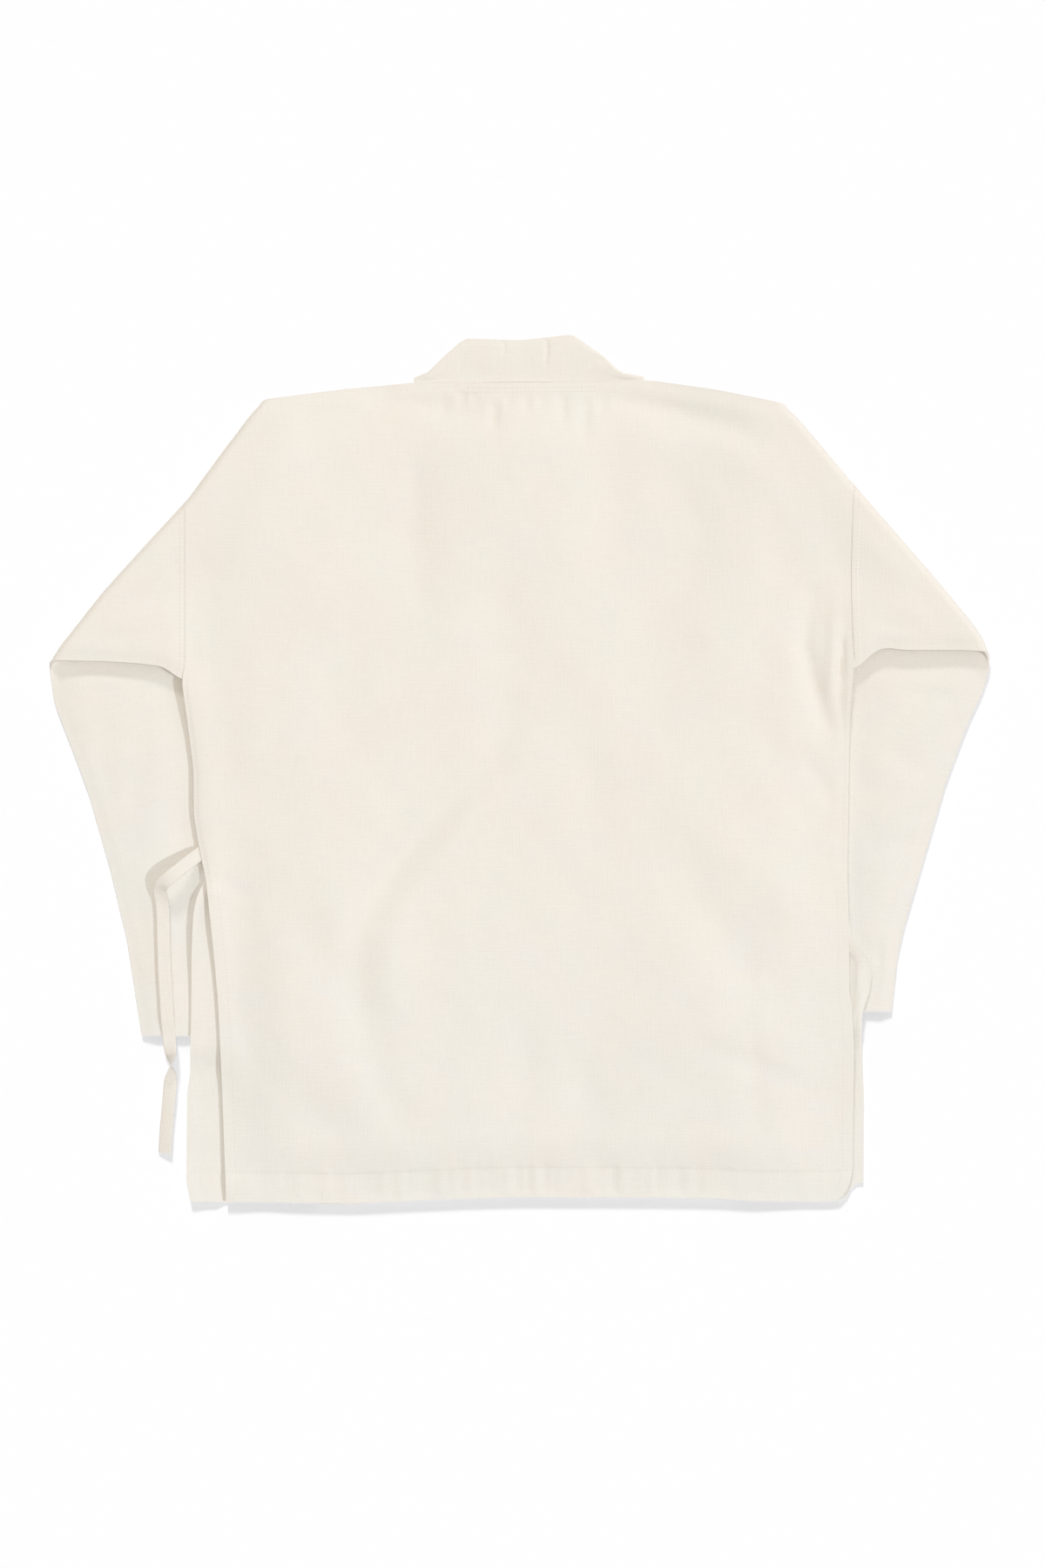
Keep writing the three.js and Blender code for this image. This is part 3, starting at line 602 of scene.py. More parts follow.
def finish_mesh(name, points, quads, cut, slot, material, replaces, others=(), folded=True):
    """A closed mesh on the body, with its place in the cut cloth as a UV map."""
    mesh = bpy.data.meshes.new(name)
    mesh.from_pydata(points.tolist(), [], quads.tolist() + [list(face) for face in others])
    shape = bmesh.new()
    shape.from_mesh(mesh)
    if folded:
        cut_at_folds(shape)
    bmesh.ops.recalc_face_normals(shape, faces=shape.faces)
    shape.to_mesh(mesh)
    shape.free()
    flat = np.zeros(len(mesh.vertices) * 3, np.float32)
    mesh.vertices.foreach_get("co", flat)
    flat = flat.reshape(-1, 3).astype(float)
    if folded:
        cut = flat[:, :2]
        flat = bend(flat[:, 0], flat[:, 1], flat[:, 2])
    lying = flat + SHIFT
    lying[:, 2] = np.maximum(lying[:, 2], 0)
    mesh.vertices.foreach_set("co", (lying * MM).astype(np.float32).ravel())
    layer = mesh.uv_layers.new(name="cut")
    corners = np.zeros(len(mesh.loops), np.int32)
    mesh.loops.foreach_get("vertex_index", corners)
    layer.data.foreach_set("uv", (cut[corners] * MM).astype(np.float32).ravel())
    mesh.polygons.foreach_set("use_smooth", np.ones(len(mesh.polygons), bool))
    mesh.set_sharp_from_angle(angle=SHARP_EDGE)
    mesh.update()
    mesh.materials.append(material)
    piece = add_object(name, mesh)
    SIDE_LIT.objects.link(piece)
    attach(piece, "root")
    if replaces:
        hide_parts(replaces)
    return piece


def grid_quads(rows, wide, offset=0):
    """Quads of a grid of points that are numbered row by row."""
    j, i = np.meshgrid(np.arange(rows - 1), np.arange(wide - 1), indexing="ij")
    corner = (j * wide + i).ravel() + offset
    return np.stack([corner, corner + 1, corner + wide + 1, corner + wide], axis=1)


def border(rows, wide):
    """Numbers of a grid's border points, in order round it."""
    low = np.arange(wide)
    right = np.arange(1, rows) * wide + wide - 1
    high = (rows - 1) * wide + np.arange(wide - 2, -1, -1)
    left = np.arange(rows - 2, 0, -1) * wide
    return np.concatenate([low, right, high, left])


def strip(a, b):
    """Quads between two closed rings of points."""
    return np.stack([a, np.roll(a, -1), np.roll(b, -1), b], axis=1)


def wall_mesh(x, y, low, high, bulge=0.12):
    """A flat cloth wall between two heights over a grid, with a rounded edge all round."""
    rows, wide = x.shape
    count = rows * wide
    under = place(x, y, low).reshape(-1, 3)
    over = place(x, y, high).reshape(-1, 3)
    ring = border(rows, wide)
    inward_x, inward_y = inward(x, y)
    rim_x = (x - bulge * inward_x).ravel()[ring]
    rim_y = (y - bulge * inward_y).ravel()[ring]
    rim = place(rim_x, rim_y, ((low + high) / 2).ravel()[ring])
    rim_numbers = 2 * count + np.arange(len(ring))
    quads = np.concatenate([
        grid_quads(rows, wide),
        grid_quads(rows, wide, count),
        strip(ring, rim_numbers),
        strip(rim_numbers, ring + count),
    ])
    cut = np.stack([x.ravel(), y.ravel()], axis=1)
    return np.concatenate([under, over, rim]), quads, np.concatenate([cut, cut, cut[ring]])


def inward(x, y):
    """Directions from a grid's border towards its inside, and nought within."""
    dx = np.zeros_like(x)
    dy = np.zeros_like(y)
    columns_in = [(np.s_[:, 0], np.s_[:, 1]), (np.s_[:, -1], np.s_[:, -2])]
    rows_in = [(np.s_[0, :], np.s_[1, :]), (np.s_[-1, :], np.s_[-2, :])]
    for target, source in columns_in + rows_in:
        step_x = x[source] - x[target]
        step_y = y[source] - y[target]
        long = np.hypot(step_x, step_y) + 1e-9
        dx[target] += step_x / long
        dy[target] += step_y / long
    return dx, dy


def spaced(count, fine_low=(), fine_high=()):
    """Shares from 0 to 1: even, with extra ones near either end."""
    even = np.linspace(0, 1, count + 1)
    return np.unique(np.concatenate([even, fine_low, 1 - np.array(fine_high, float)]))


def body_grid(us, vs, left_at, right_at, hem_at=hem_edge):
    """Places in a body panel between two side edges, from the hem to the shoulder."""
    u, v = np.meshgrid(us, vs)
    y = mix(-406.0, 355.0, v)
    x = mix(left_at(y), right_at(y), u)
    for _ in range(5):
        raised = (hem_at(x) - hem_edge(x)) * np.clip(1 - v / HEM_SHARE, 0, 1)
        y = mix(hem_edge(x), top_edge(x), v) + raised
        x = mix(left_at(y), right_at(y), u)
    return x, y


# Extra rows and columns beside edges and stitch lines, as shares of the jacket
BODY_LONG = 770
BODY_WIDE = 626
NEAR_STITCHES = np.array([-5, -3, -1.6, -0.8, 0, 0.8, 1.6, 3])
HEM_ROWS = np.concatenate([[1.5, 4, 8], HEM_DEPTH + NEAR_STITCHES]) / BODY_LONG
TOP_ROWS = np.array([1, 2.5, 4, 5, 6.5, 9]) / BODY_LONG
SIDE_COLUMNS = np.array([1.2, 3, 4.2, 5.5, 8]) / BODY_WIDE


def make_back(material):
    us = spaced(190, SIDE_COLUMNS, SIDE_COLUMNS)
    vs = spaced(200, HEM_ROWS, TOP_ROWS)
    x, y = body_grid(us, vs, lambda at: back_edge(at, "left"), lambda at: back_edge(at, "right"))
    low = back_floor(x, y)
    wall = wall_mesh(x, y, low, low + CLOTH + hem_extra(x, y))
    piece = finish_mesh("back", *wall, "cloth", material, "back_panel")


def front_relief(x, y):
    """Small unevenness of the strips of the fronts that show past the back."""
    outside = fall(np.minimum(left_side(x, y), right_side(x, y)), -4, 4)
    return 0.3 * outside * (1 + drift(x, y, 24, 31))


LAPEL_COLUMNS = np.array([2, 4, 6, 9, 13, 18, 23, 28, 34]) / 420


def make_front(name, side, floor, material, node):
    """One front, from its side edge to the seam of its lapel band."""
    column = "left" if side < 0 else "right"

    def outer(at):
        return front_edge(at, column)

    def seam(at):
        return lapel_edge(at, column) + side * (BAND_ACROSS + SEAM_GAP)

    if side < 0:
        x, y = body_grid(spaced(70, LAPEL_COLUMNS), spaced(150, HEM_ROWS), outer, seam, front_hem)
    else:
        x, y = body_grid(spaced(70, (), LAPEL_COLUMNS), spaced(150, HEM_ROWS), seam, outer, front_hem)
    low = floor(x, y) + seam_lift(x, y) + front_flare(x, y)
    high = low + CLOTH + hem_extra(x, y) + front_relief(x, y)
    piece = finish_mesh(name, *wall_mesh(x, y, low, high), "cloth", material, node)


def make_lapel(name, side, floor, material, node):
    column = "left" if side < 0 else "right"
    u, v = np.meshgrid(np.linspace(0, 1, 9), np.linspace(0, 1, 160))
    y = mix(-406.0, 380.0, v)
    for _ in range(5):
        x = lapel_edge(y, column) + side * BAND_ACROSS * u
        y = mix(hem_edge(x), lookup(LAPEL_TOP, "x", np.abs(x), "y"), v)
    low = floor(x, y)
    wall = wall_mesh(x, y, low, low + BAND_WALL, 0.5)
    piece = finish_mesh(name, *wall, "band", material, node)


COLLAR_CREASES = [
    (1.9, 1.5, (26.5, 408), (27.5, 396), (26, 382)),
    (1.8, 0.9, (-13, 408), (-13, 392)),
    (3, 0.8, (63, 378), (74, 387), (84, 384)),
    (4, 0.5, (-60, 376), (-48, 392)),
    (7, -0.5, (-30, 372), (-24, 396)),
    (8, 0.4, (8, 370), (6, 398)),
]


def make_collar(material):
    us = np.linspace(0, 1, 150)
    vs = spaced(30, (0.02, 0.05), (0.01, 0.03))
    u, v = np.meshgrid(us, vs)
    x = mix(COLLAR_TOP["x"][0], COLLAR_TOP["x"][-1], u)
    low_y = top_edge(x) + SEAM_GAP
    y = mix(low_y, np.interp(x, COLLAR_TOP["x"], COLLAR_TOP["y"]), v)
    ends = ramp(u, 0, 0.07) * fall(u, 0.93, 1)
    roll = COLLAR_ROLL * smooth(v) * ends
    inside = ramp(v, 0, 0.2) * fall(v, 0.95, 1)
    wall = mix(CLOTH, COLLAR_WALL, ramp(v, 0, 0.6) * ends)
    high = BACK_OVER_FRONT + roll + wall - 0.5 * ramp(v, 0.85, 1)
    high = high + (creases(x, y, COLLAR_CREASES) + 0.5 * rumple(x, y, 41)) * inside
    wall = wall_mesh(x, y, BACK_OVER_FRONT + roll, high, 0.8)
    piece = finish_mesh("neck_band", *wall, "band", material, "collar_back")


def armhole_at(sleeve, y):
    return np.abs(back_edge(y, sleeve["column"])) + ARMHOLE_GAP


def sleeve_grid(sleeve, us, vs):
    """Places in a sleeve before it is folded, from armhole to cuff."""
    under = sleeve["underarm"]
    start = under["y"][0]
    v, u = np.meshgrid(vs, us)
    seam_low = armhole_at(sleeve, start)
    seam_high = armhole_at(sleeve, sleeve["overarm_start"])
    low_out = mix(seam_low, sleeve["cuff_out"], u)
    low_y = lookup(under, "out", low_out, "y")
    high_out = mix(seam_high, sleeve["overarm_cuff"][0], u)
    high_y = mix(sleeve["overarm_start"], sleeve["overarm_cuff"][1], u)
    y = mix(low_y, high_y, v)
    seam = armhole_at(sleeve, y) - mix(seam_low, seam_high, v)
    out = mix(low_out, high_out, v) + seam * fall(u, 0, 0.06)
    return sleeve["side"] * out, y


def tube_mesh(x, y, back_high, front_low, round_by=0.45):
    """A flattened tube of cloth, open at both ends."""
    rows, wide = x.shape
    count = rows * wide
    toward = np.zeros_like(y)
    toward[:, 0] = 1
    toward[:, -1] = -1
    inner_by = round_by + CLOTH * 1.6
    layers = [
        place(x, y + toward * round_by, back_high),
        place(x, y + toward * round_by, front_low),
        place(x, y + toward * inner_by, back_high - CLOTH),
        place(x, y + toward * inner_by, front_low + CLOTH),
        place(x, y, (back_high + front_low) / 2),
    ]
    outer_back, outer_front, inner_back, inner_front, rim = np.arange(5 * count).reshape(5, rows, wide)
    quads = [grid_quads(rows, wide, k * count) for k in range(4)]

    def along(a, b):
        return np.stack([a[:-1], a[1:], b[1:], b[:-1]], axis=1)

    for edge in (0, wide - 1):
        quads.append(along(outer_back[:, edge], rim[:, edge]))
        quads.append(along(rim[:, edge], outer_front[:, edge]))
        quads.append(along(inner_back[:, edge], inner_front[:, edge]))
    for end in (0, rows - 1):
        quads.append(along(outer_back[end], inner_back[end]))
        quads.append(along(outer_front[end], inner_front[end]))
    points = np.concatenate([layer.reshape(-1, 3) for layer in layers])
    cut = np.tile(np.stack([x.ravel(), y.ravel()], axis=1), (5, 1))
    corners = []
    for end in (0, rows - 1):
        for edge in (0, wide - 1):
            around = (outer_back, inner_back, inner_front, outer_front, rim)
            corners.append([numbers[end, edge] for numbers in around])
    return points, np.concatenate(quads), cut, corners


SLEEVE_EDGE_PINCH = 1.7
UPPER_SLEEVE_LOFT = 1.6
LOWER_SLEEVE_LOFT = 2.2
ARMHOLE_BAND = 5.8
ARMHOLE_BAND_RISE = {-1: 0.12, 1: 0.35}


def cuff_line(sleeve):
    """Both ends of the cuff before the fold, and the direction back up the sleeve."""
    low = np.array([sleeve["cuff_out"], sleeve["underarm"]["y"][-1]])
    high = np.array(sleeve["overarm_cuff"], float)
    along = (high - low) / np.linalg.norm(high - low)
    return low, high, np.array([-along[1], along[0]])


def to_cuff(sleeve, x, y):
    low, _, back = cuff_line(sleeve)
    return (x * sleeve["side"] - low[0]) * back[0] + (y - low[1]) * back[1]


def sleeve_heights(sleeve, x, y):
    """Lower and upper face of a sleeve before the fold: the lower one shows past it."""
    fold = FOLDS[0] if sleeve["side"] < 0 else FOLDS[1]
    base = front_floor(x, y)
    past = past_fold(fold, x, y)
    out = x * sleeve["side"]
    from_armhole = out - armhole_at(sleeve, y)
    under = lookup(sleeve["underarm"], "out", out, "y")
    over_start, over_cuff = sleeve["overarm_start"], sleeve["overarm_cuff"]
    over = mix(over_start, over_cuff[1], (out - 312) / (over_cuff[0] - 312))
    to_edge = np.minimum(y - under, over - y)
    from_cuff = to_cuff(sleeve, x, y)
    hem = HEM_EXTRA * fall(from_cuff, CUFF_DEPTH - 14, CUFF_DEPTH + 1)
    pinch = SLEEVE_EDGE_PINCH * fall(to_edge, 0, 15)
    turned = ramp(past, 6, 26)

    above = fall(past, -34, -8)
    free = above * ramp(to_edge, 3, 26) * ramp(from_armhole, 6, 26)
    upper = (np.clip(creases(x, y, UPPER_SLEEVE_CREASES), -1.6, 1.2) + rumple(x, y, 51)) * free
    upper = upper + UPPER_SLEEVE_LOFT * above * ramp(to_edge, 3, 46) * ramp(from_armhole, 5, 50)
    at_band = fall(from_armhole, ARMHOLE_BAND - 0.8, ARMHOLE_BAND + 0.8)
    upper = upper + ARMHOLE_BAND_RISE[sleeve["side"]] * at_band * above

    lying = bend(x, y, base)
    lying_x, lying_y = lying[..., 0], lying[..., 1]
    outside = lying_x * sleeve["side"] - np.abs(front_edge(lying_y, sleeve["column"]))
    shown = turned * ramp(outside, 3, 16) * fall(lying_y, 80, 98) * ramp(to_edge, 3, 26)
    lower = (np.clip(creases(lying_x, lying_y, LOWER_SLEEVE_CREASES), -2.4, 2.6) + rumple(x, y, 61)) * shown
    loft = LOWER_SLEEVE_LOFT * shown * ramp(to_edge, 3, 40) * ramp(outside, 3, 40)
    lower = lower + loft * ramp(from_cuff, 0, 60)
    front_low = base + pinch * turned - lower - hem * turned * ramp(outside, 1, 8)
    back_high = base + SLEEVE_LAYERS + 1.2 - pinch * (1 - turned) + upper
    return front_low, back_high


def make_sleeve(name, sleeve, material, node):
    us = spaced(150, (0.003, 0.007, 0.0105, 0.0125, 0.016), (0.003, 0.01, 0.096, 0.1, 0.104))
    x, y = sleeve_grid(sleeve, us, np.linspace(0, 1, 67))
    front_low, back_high = sleeve_heights(sleeve, x, y)
    points, quads, cut, corners = tube_mesh(x, y, back_high, front_low)
    piece = finish_mesh(name, points, quads, cut, "cloth", material, node, corners)


TIE_WIDTH = 12.3
TIE_WALL = 1.0
TIE_ON_FRONT = 2.6
FRONT_TIE = dict(top=-76, length=240, off_edge=8)
# The side tie arches out of the seam, drops on the sleeve and turns over once past the cuff.
# Its rise is over what lies below it.
SIDE_TIE = columns(
    "x y rise roll",
    (-295.5, -76, 1.2, -10), (-302, -80.8, 5.5, -10), (-310, -87.2, 10, -6), (-319, -94.4, 13, 0),
    (-328, -101.5, 13, 4), (-334, -107.2, 10.5, 6), (-336, -114, 6.4, 4), (-334.5, -123, 3.9, 2),
    (-333.5, -138, 2.7, -4), (-333, -160, 2.3, -6), (-332, -190, 2.2, -6), (-330, -225, 2.2, -6),
    (-328.5, -246, 2.5, -4), (-327.5, -256, 5.6, 2), (-326.5, -265, 6.4, 22), (-326, -274, 7.2, 70),
    (-326, -283, 7.2, 120), (-326.8, -293, 5.4, 165), (-328.5, -310, 3.6, 188), (-331, -335, 3.2, 194),
    (-332.5, -360, 3.0, 194),
)


def unfold(fold, x, y):
    """Where a place of the turned part of a sleeve was before the fold."""
    start, run, out, along, inset, _ = fold_place(fold, x, y)
    across = (x - start[0]) * out[0] + (y - start[1]) * out[1]
    beyond = -FOLD_RADIUS - across - inset
    flat = beyond + math.pi * FOLD_NEUTRAL - FOLD_RADIUS - inset
    return start[0] + run[0] * along + out[0] * flat, start[1] + run[1] * along + out[1] * flat


def under_side_tie(x, y):
    """Height of what the side tie lies on."""
    flat_x, flat_y = unfold(FOLDS[0], x, y)
    front_low, _ = sleeve_heights(SLEEVES[0], flat_x, flat_y)
    top = bend(flat_x, flat_y, front_low)[..., 2]
    return top * ramp(to_cuff(SLEEVES[0], flat_x, flat_y), -2, 3)


def rounded_run(table, count):
    """Every column of a table of stations along one smooth line through them."""
    spots = np.stack(list(table.values()), axis=1)
    spots = np.concatenate([[2 * spots[0] - spots[1]], spots, [2 * spots[-1] - spots[-2]]])
    span = np.linspace(0, len(spots) - 3 - 1e-6, count)
    i = span.astype(int)
    t = (span - i)[:, None]
    a, b, c, d = (spots[i + k] for k in range(4))
    square = 2 * a - 5 * b + 4 * c - d
    cube = 3 * b - a - 3 * c + d
    return 0.5 * (2 * b + (c - a) * t + square * t ** 2 + cube * t ** 3)


def unit(rows):
    return rows / np.linalg.norm(rows, axis=1, keepdims=True)


def tape_mesh(middle, roll, width, thick, edge_curl):
    """A flat tape with rounded edges, rolled about its line by an angle at each place."""
    ahead = unit(np.gradient(middle, axis=0))
    side = unit(np.cross([0, 0, 1], ahead))
    up = np.cross(ahead, side)
    turn = np.radians(roll)[:, None]
    across = side * np.cos(turn) + up * np.sin(turn)
    over = up * np.cos(turn) - side * np.sin(turn)
    share = np.array([-1, -0.96, -0.85, -0.5, 0, 0.5, 0.85, 0.96, 1])
    lift = np.array([0, 0.7, 0.95, 1, 0.92, 1, 0.95, 0.7, 0])
    around = [(s, k) for s, k in zip(share, lift)] + [(s, -k) for s, k in zip(share[-2:0:-1], lift[-2:0:-1])]
    rings = [middle + across * s * width / 2 + over * (k * thick / 2 + edge_curl * s * s) for s, k in around]
    points = np.stack(rings, axis=1)
    count, ring = points.shape[:2]
    number = np.arange(count * ring).reshape(count, ring)
    after = np.roll(number, -1, axis=1)
    quads = np.stack([number[:-1], after[:-1], after[1:], number[1:]], axis=-1).reshape(-1, 4)
    long = np.concatenate([[0], np.cumsum(np.linalg.norm(np.diff(middle, axis=0), axis=1))])
    sideways = np.broadcast_to(np.array([s for s, _ in around]) * width / 2, (count, ring))
    lengthways = np.broadcast_to(long[:, None], (count, ring))
    cut = np.stack([sideways, lengthways], axis=-1).reshape(-1, 2)
    ends = [number[0].tolist(), number[-1].tolist()]
    return points.reshape(-1, 3), quads, cut, ends, long[-1]


def make_tie(name, middle, roll, edge_curl, material, node):
    points, quads, cut, ends, long = tape_mesh(middle, roll, TIE_WIDTH, TIE_WALL, edge_curl)
    piece = finish_mesh(name, points, quads, cut, "tie", material, node, ends, folded=False)


def make_side_tie(material):
    x, y, rise, roll = rounded_run(SIDE_TIE, 170).T
    base = under_side_tie(x, y)
    soft = np.convolve(np.pad(base, 6, mode="edge"), np.ones(13) / 13, mode="valid")
    middle = place(x, y, soft + rise)
    make_tie("side_tie", middle, roll, 0.25, material, "tie_side")


def make_front_tie(material):
    y = FRONT_TIE["top"] - np.linspace(0, FRONT_TIE["length"], 60)
    x = lapel_edge(y, "right") - FRONT_TIE["off_edge"]
    middle = place(x, y, front_floor(x, y) + TIE_ON_FRONT)
    make_tie("front_tie", middle, np.zeros(60), 0, material, "tie_front")


STITCH_LONG = 2.7
STITCH_STEP = 3.8
STITCH_WIDE = 0.55
STITCH_HIGH = 0.24
STITCH_SIDES = 6
# How far rows of stitches run from neck seam, side seams, vents and armholes
NECK_ROWS = (5, 9)
SIDE_ROW = 4.2
VENT_ROW = 10
ARMHOLE_ROWS = (1.3, 4.8)


def back_top(x, y):
    return back_floor(x, y) + CLOTH + hem_extra(x, y)


def stitch_row(x, y, height, side=1):
    """Stitches along a run of flat places, each a small spindle on the cloth."""
    long = np.concatenate([[0], np.cumsum(np.hypot(np.diff(x), np.diff(y)))])
    middle = np.arange(STITCH_STEP, long[-1] - STITCH_STEP, STITCH_STEP)

    def lying(at, raised=0):
        px = np.interp(at, long, x)
        py = np.interp(at, long, y)
        return bend(px, py, height(px, py) + raised)

    centre = lying(middle)
    up = unit(lying(middle, side) - centre)
    ahead = unit(lying(middle + STITCH_LONG / 2) - lying(middle - STITCH_LONG / 2))
    across = np.cross(up, ahead)
    turns = np.arange(STITCH_SIDES) * math.pi / 3
    around = [(reach, math.cos(t), math.sin(t)) for reach in (-0.3, 0.3) for t in turns]
    spindle = [(-0.5, 0, 0), *around, (0.5, 0, 0)]
    points = [
        centre + ahead * a * STITCH_LONG + across * b * STITCH_WIDE / 2 + up * c * STITCH_HIGH / 2
        for a, b, c in spindle
    ]
    points = np.stack(points, axis=1).reshape(-1, 3)
    faces = []
    for first in range(0, len(points), len(spindle)):
        tip = first + len(spindle) - 1
        for k in range(STITCH_SIDES):
            low, low_next = first + 1 + k, first + 1 + (k + 1) % STITCH_SIDES
            high, high_next = low + STITCH_SIDES, low_next + STITCH_SIDES
            faces += [[first, low_next, low], [low, low_next, high_next, high], [tip, high, high_next]]
    return points, faces


def sleeve_face(sleeve, upper):
    """Height of the upper or lower face of a sleeve before it is folded."""
    return lambda x, y: sleeve_heights(sleeve, x, y)[upper]


def seam_rows():
    """Every row of stitches that shows: flat places, the cloth below and which way is out."""
    x = np.linspace(-272, 314, 400)
    yield x, hem_edge(x) + HEM_DEPTH, back_top, 1
    x = np.linspace(-50, 76, 120)
    for down in NECK_ROWS:
        yield x, top_edge(x) - down, back_top, 1
    for column, inward_by in (("left", 1), ("right", -1)):
        y = np.linspace(VENT_TOP + 4, ARMPIT - 2, 160)
        yield back_edge(y, column) + inward_by * SIDE_ROW, y, back_top, 1
        y = np.linspace(-403, VENT_TOP - 4, 160)
        yield back_edge(y, column) + inward_by * VENT_ROW, y, back_top, 1
    for sleeve in SLEEVES:
        surface = sleeve_face(sleeve, 1)
        for off in ARMHOLE_ROWS:
            y = np.linspace(sleeve["underarm"]["y"][0] + 4, sleeve["overarm_start"] - 4, 200)
            yield sleeve["side"] * (armhole_at(sleeve, y) + off), y, surface, 1
        low, high, back = cuff_line(sleeve)
        share = np.linspace(0.02, 0.98, 160)[:, None]
        line = low + (high - low) * share + back * CUFF_DEPTH
        yield sleeve["side"] * line[:, 0], line[:, 1], sleeve_face(sleeve, 0), -1


def make_stitching(material):
    points = []
    faces = []
    count = 0
    for row in seam_rows():
        row_points, row_faces = stitch_row(*row)
        points.append(row_points)
        faces += [[k + count for k in face] for face in row_faces]
        count += len(row_points)
    points = np.concatenate(points)
    none = np.zeros((0, 4), int)
    finish_mesh("stitching", points, none, points[:, :2], "cloth", material, None, faces, folded=False)


def set_inputs(tree, node, **inputs):
    """Give a shader node's inputs values or other nodes' outputs."""
    for key, value in inputs.items():
        numbered = key[0] == "i" and key[1:].isdigit()
        socket = node.inputs[int(key[1:]) if numbered else key.replace("_", " ")]
        if isinstance(value, bpy.types.NodeSocket):
            tree.links.new(value, socket)
        else:
            socket.default_value = value


def add_node(tree, kind, settings=None, **inputs):
    """The outputs of a new shader node."""
    made = tree.nodes.new("ShaderNode" + kind)
    for key, value in (settings or {}).items():
        setattr(made, key, value)
    set_inputs(tree, made, **inputs)
    return made.outputs


def calculate(tree, operation, a, b):
    return add_node(tree, "Math", {"operation": operation}, i0=a, i1=b)[0]


def combine(tree, operation, a, b):
    return add_node(tree, "VectorMath", {"operation": operation}, i0=a, i1=b)[0]


def scaled(tree, colour, by):
    return add_node(tree, "VectorMath", {"operation": "SCALE"}, i0=colour, Scale=by)[0]


def share_between(tree, value, low, high):
    """0 up to the low value, 1 from the high one on."""
    return add_node(tree, "MapRange", Value=value, From_Min=low, From_Max=high)[0]


def streaks(tree, place, per_metre, detail=2):
    """Noise drawn out along one direction, from 0 to 1."""
    drawn = combine(tree, "MULTIPLY", place, per_metre)
    return add_node(tree, "TexNoise", Vector=drawn, Scale=1.0, Detail=detail, Roughness=0.55)[0]


WEAVE_PITCH = 0.0011


def threads(tree, place, axis):
    """Waves across one direction of the weave, from 0 to 1."""
    settings = {"wave_type": "BANDS", "bands_direction": axis, "wave_profile": "SIN"}
    return add_node(
        tree, "TexWave", settings,
        Vector=place, Scale=math.pi / 10 / WEAVE_PITCH, Distortion=0.6, Detail=1.0, Detail_Scale=2.0,
    )[1]


def mixed(tree, share, a, b):
    return add_node(tree, "Mix", {"data_type": "RGBA"}, i0=share, i6=a, i7=b)[2]


def tinted(colour, by):
    return (*(c * k for c, k in zip(colour, by)), 1)


# What the cloth's colour is multiplied by in patches, and lower down
PALE_TINT = (0.988, 1.003, 1.0)
PINK_TINT = (1.008, 0.99, 0.978)
VIOLET_TINT = (0.992, 0.993, 1.003)
LOWER_TINT = (0.984, 1.004, 1.022)


def cotton(name, colour, slub=0.055, mottle=0.03, shift=(0, 0, 0)):
    """Undyed slubby cotton: uneven threads both ways, faint mottling and a plain weave."""
    material = bpy.data.materials.new(name)
    material.use_nodes = True
    tree = material.node_tree
    tree.nodes.clear()

    def plus(a, b):
        return calculate(tree, "ADD", a, b)

    def less(a, b):
        return calculate(tree, "SUBTRACT", a, b)

    def times(a, b):
        return calculate(tree, "MULTIPLY", a, b)

    uv = add_node(tree, "UVMap", {"uv_map": "cut"})[0]
    place = combine(tree, "ADD", uv, shift)
    warp = streaks(tree, place, (620, 48, 1))
    weft = streaks(tree, place, (52, 700, 1))
    fleck = streaks(tree, place, (420, 420, 1), 3)
    broad = streaks(tree, place, (26, 18, 1), 3)
    warm = streaks(tree, place, (14, 11, 1), 4)
    cool = streaks(tree, combine(tree, "ADD", place, (3.7, 5.1, 0)), (19, 24, 1), 3)
    weave = times(threads(tree, place, "X"), threads(tree, place, "Y"))

    total = plus(plus(warp, weft), times(fleck, 0.8))
    slubs = times(less(total, 1.4), slub)
    clouds = times(less(broad, 0.5), mottle)
    shade = plus(plus(slubs, clouds), 1.0)
    pink = share_between(tree, warm, 0.38, 0.62)
    violet = share_between(tree, cool, 0.5, 0.68)
    tint = mixed(tree, pink, tinted(colour, PALE_TINT), tinted(colour, PINK_TINT))
    tint = mixed(tree, violet, tint, tinted(colour, VIOLET_TINT))
    # A cooler tint towards the bottom and the outer sides of the cut, in uneven patches
    across, up, _ = add_node(tree, "SeparateXYZ", Vector=uv)
    sideways = calculate(tree, "MAXIMUM", less(calculate(tree, "ABSOLUTE", across, 0.0), 0.34), 0.0)
    low = plus(less(times(sideways, 1.6), up), times(less(warm, 0.5), 0.9))
    cooler_share = share_between(tree, low, 0.0, 0.3)
    tint = mixed(tree, cooler_share, tint, combine(tree, "MULTIPLY", tint, LOWER_TINT))

    height = plus(times(weave, 0.35), times(total, 0.65))
    bumped = add_node(tree, "Bump", Strength=0.5, Distance=0.0004, Height=height)[0]
    shader = add_node(
        tree, "BsdfPrincipled",
        Base_Color=scaled(tree, tint, shade), Roughness=0.92, Sheen_Weight=0.12, Sheen_Roughness=0.6,
        Specular_IOR_Level=0.2, Normal=bumped,
    )
    add_node(tree, "OutputMaterial", Surface=shader[0])
    return material


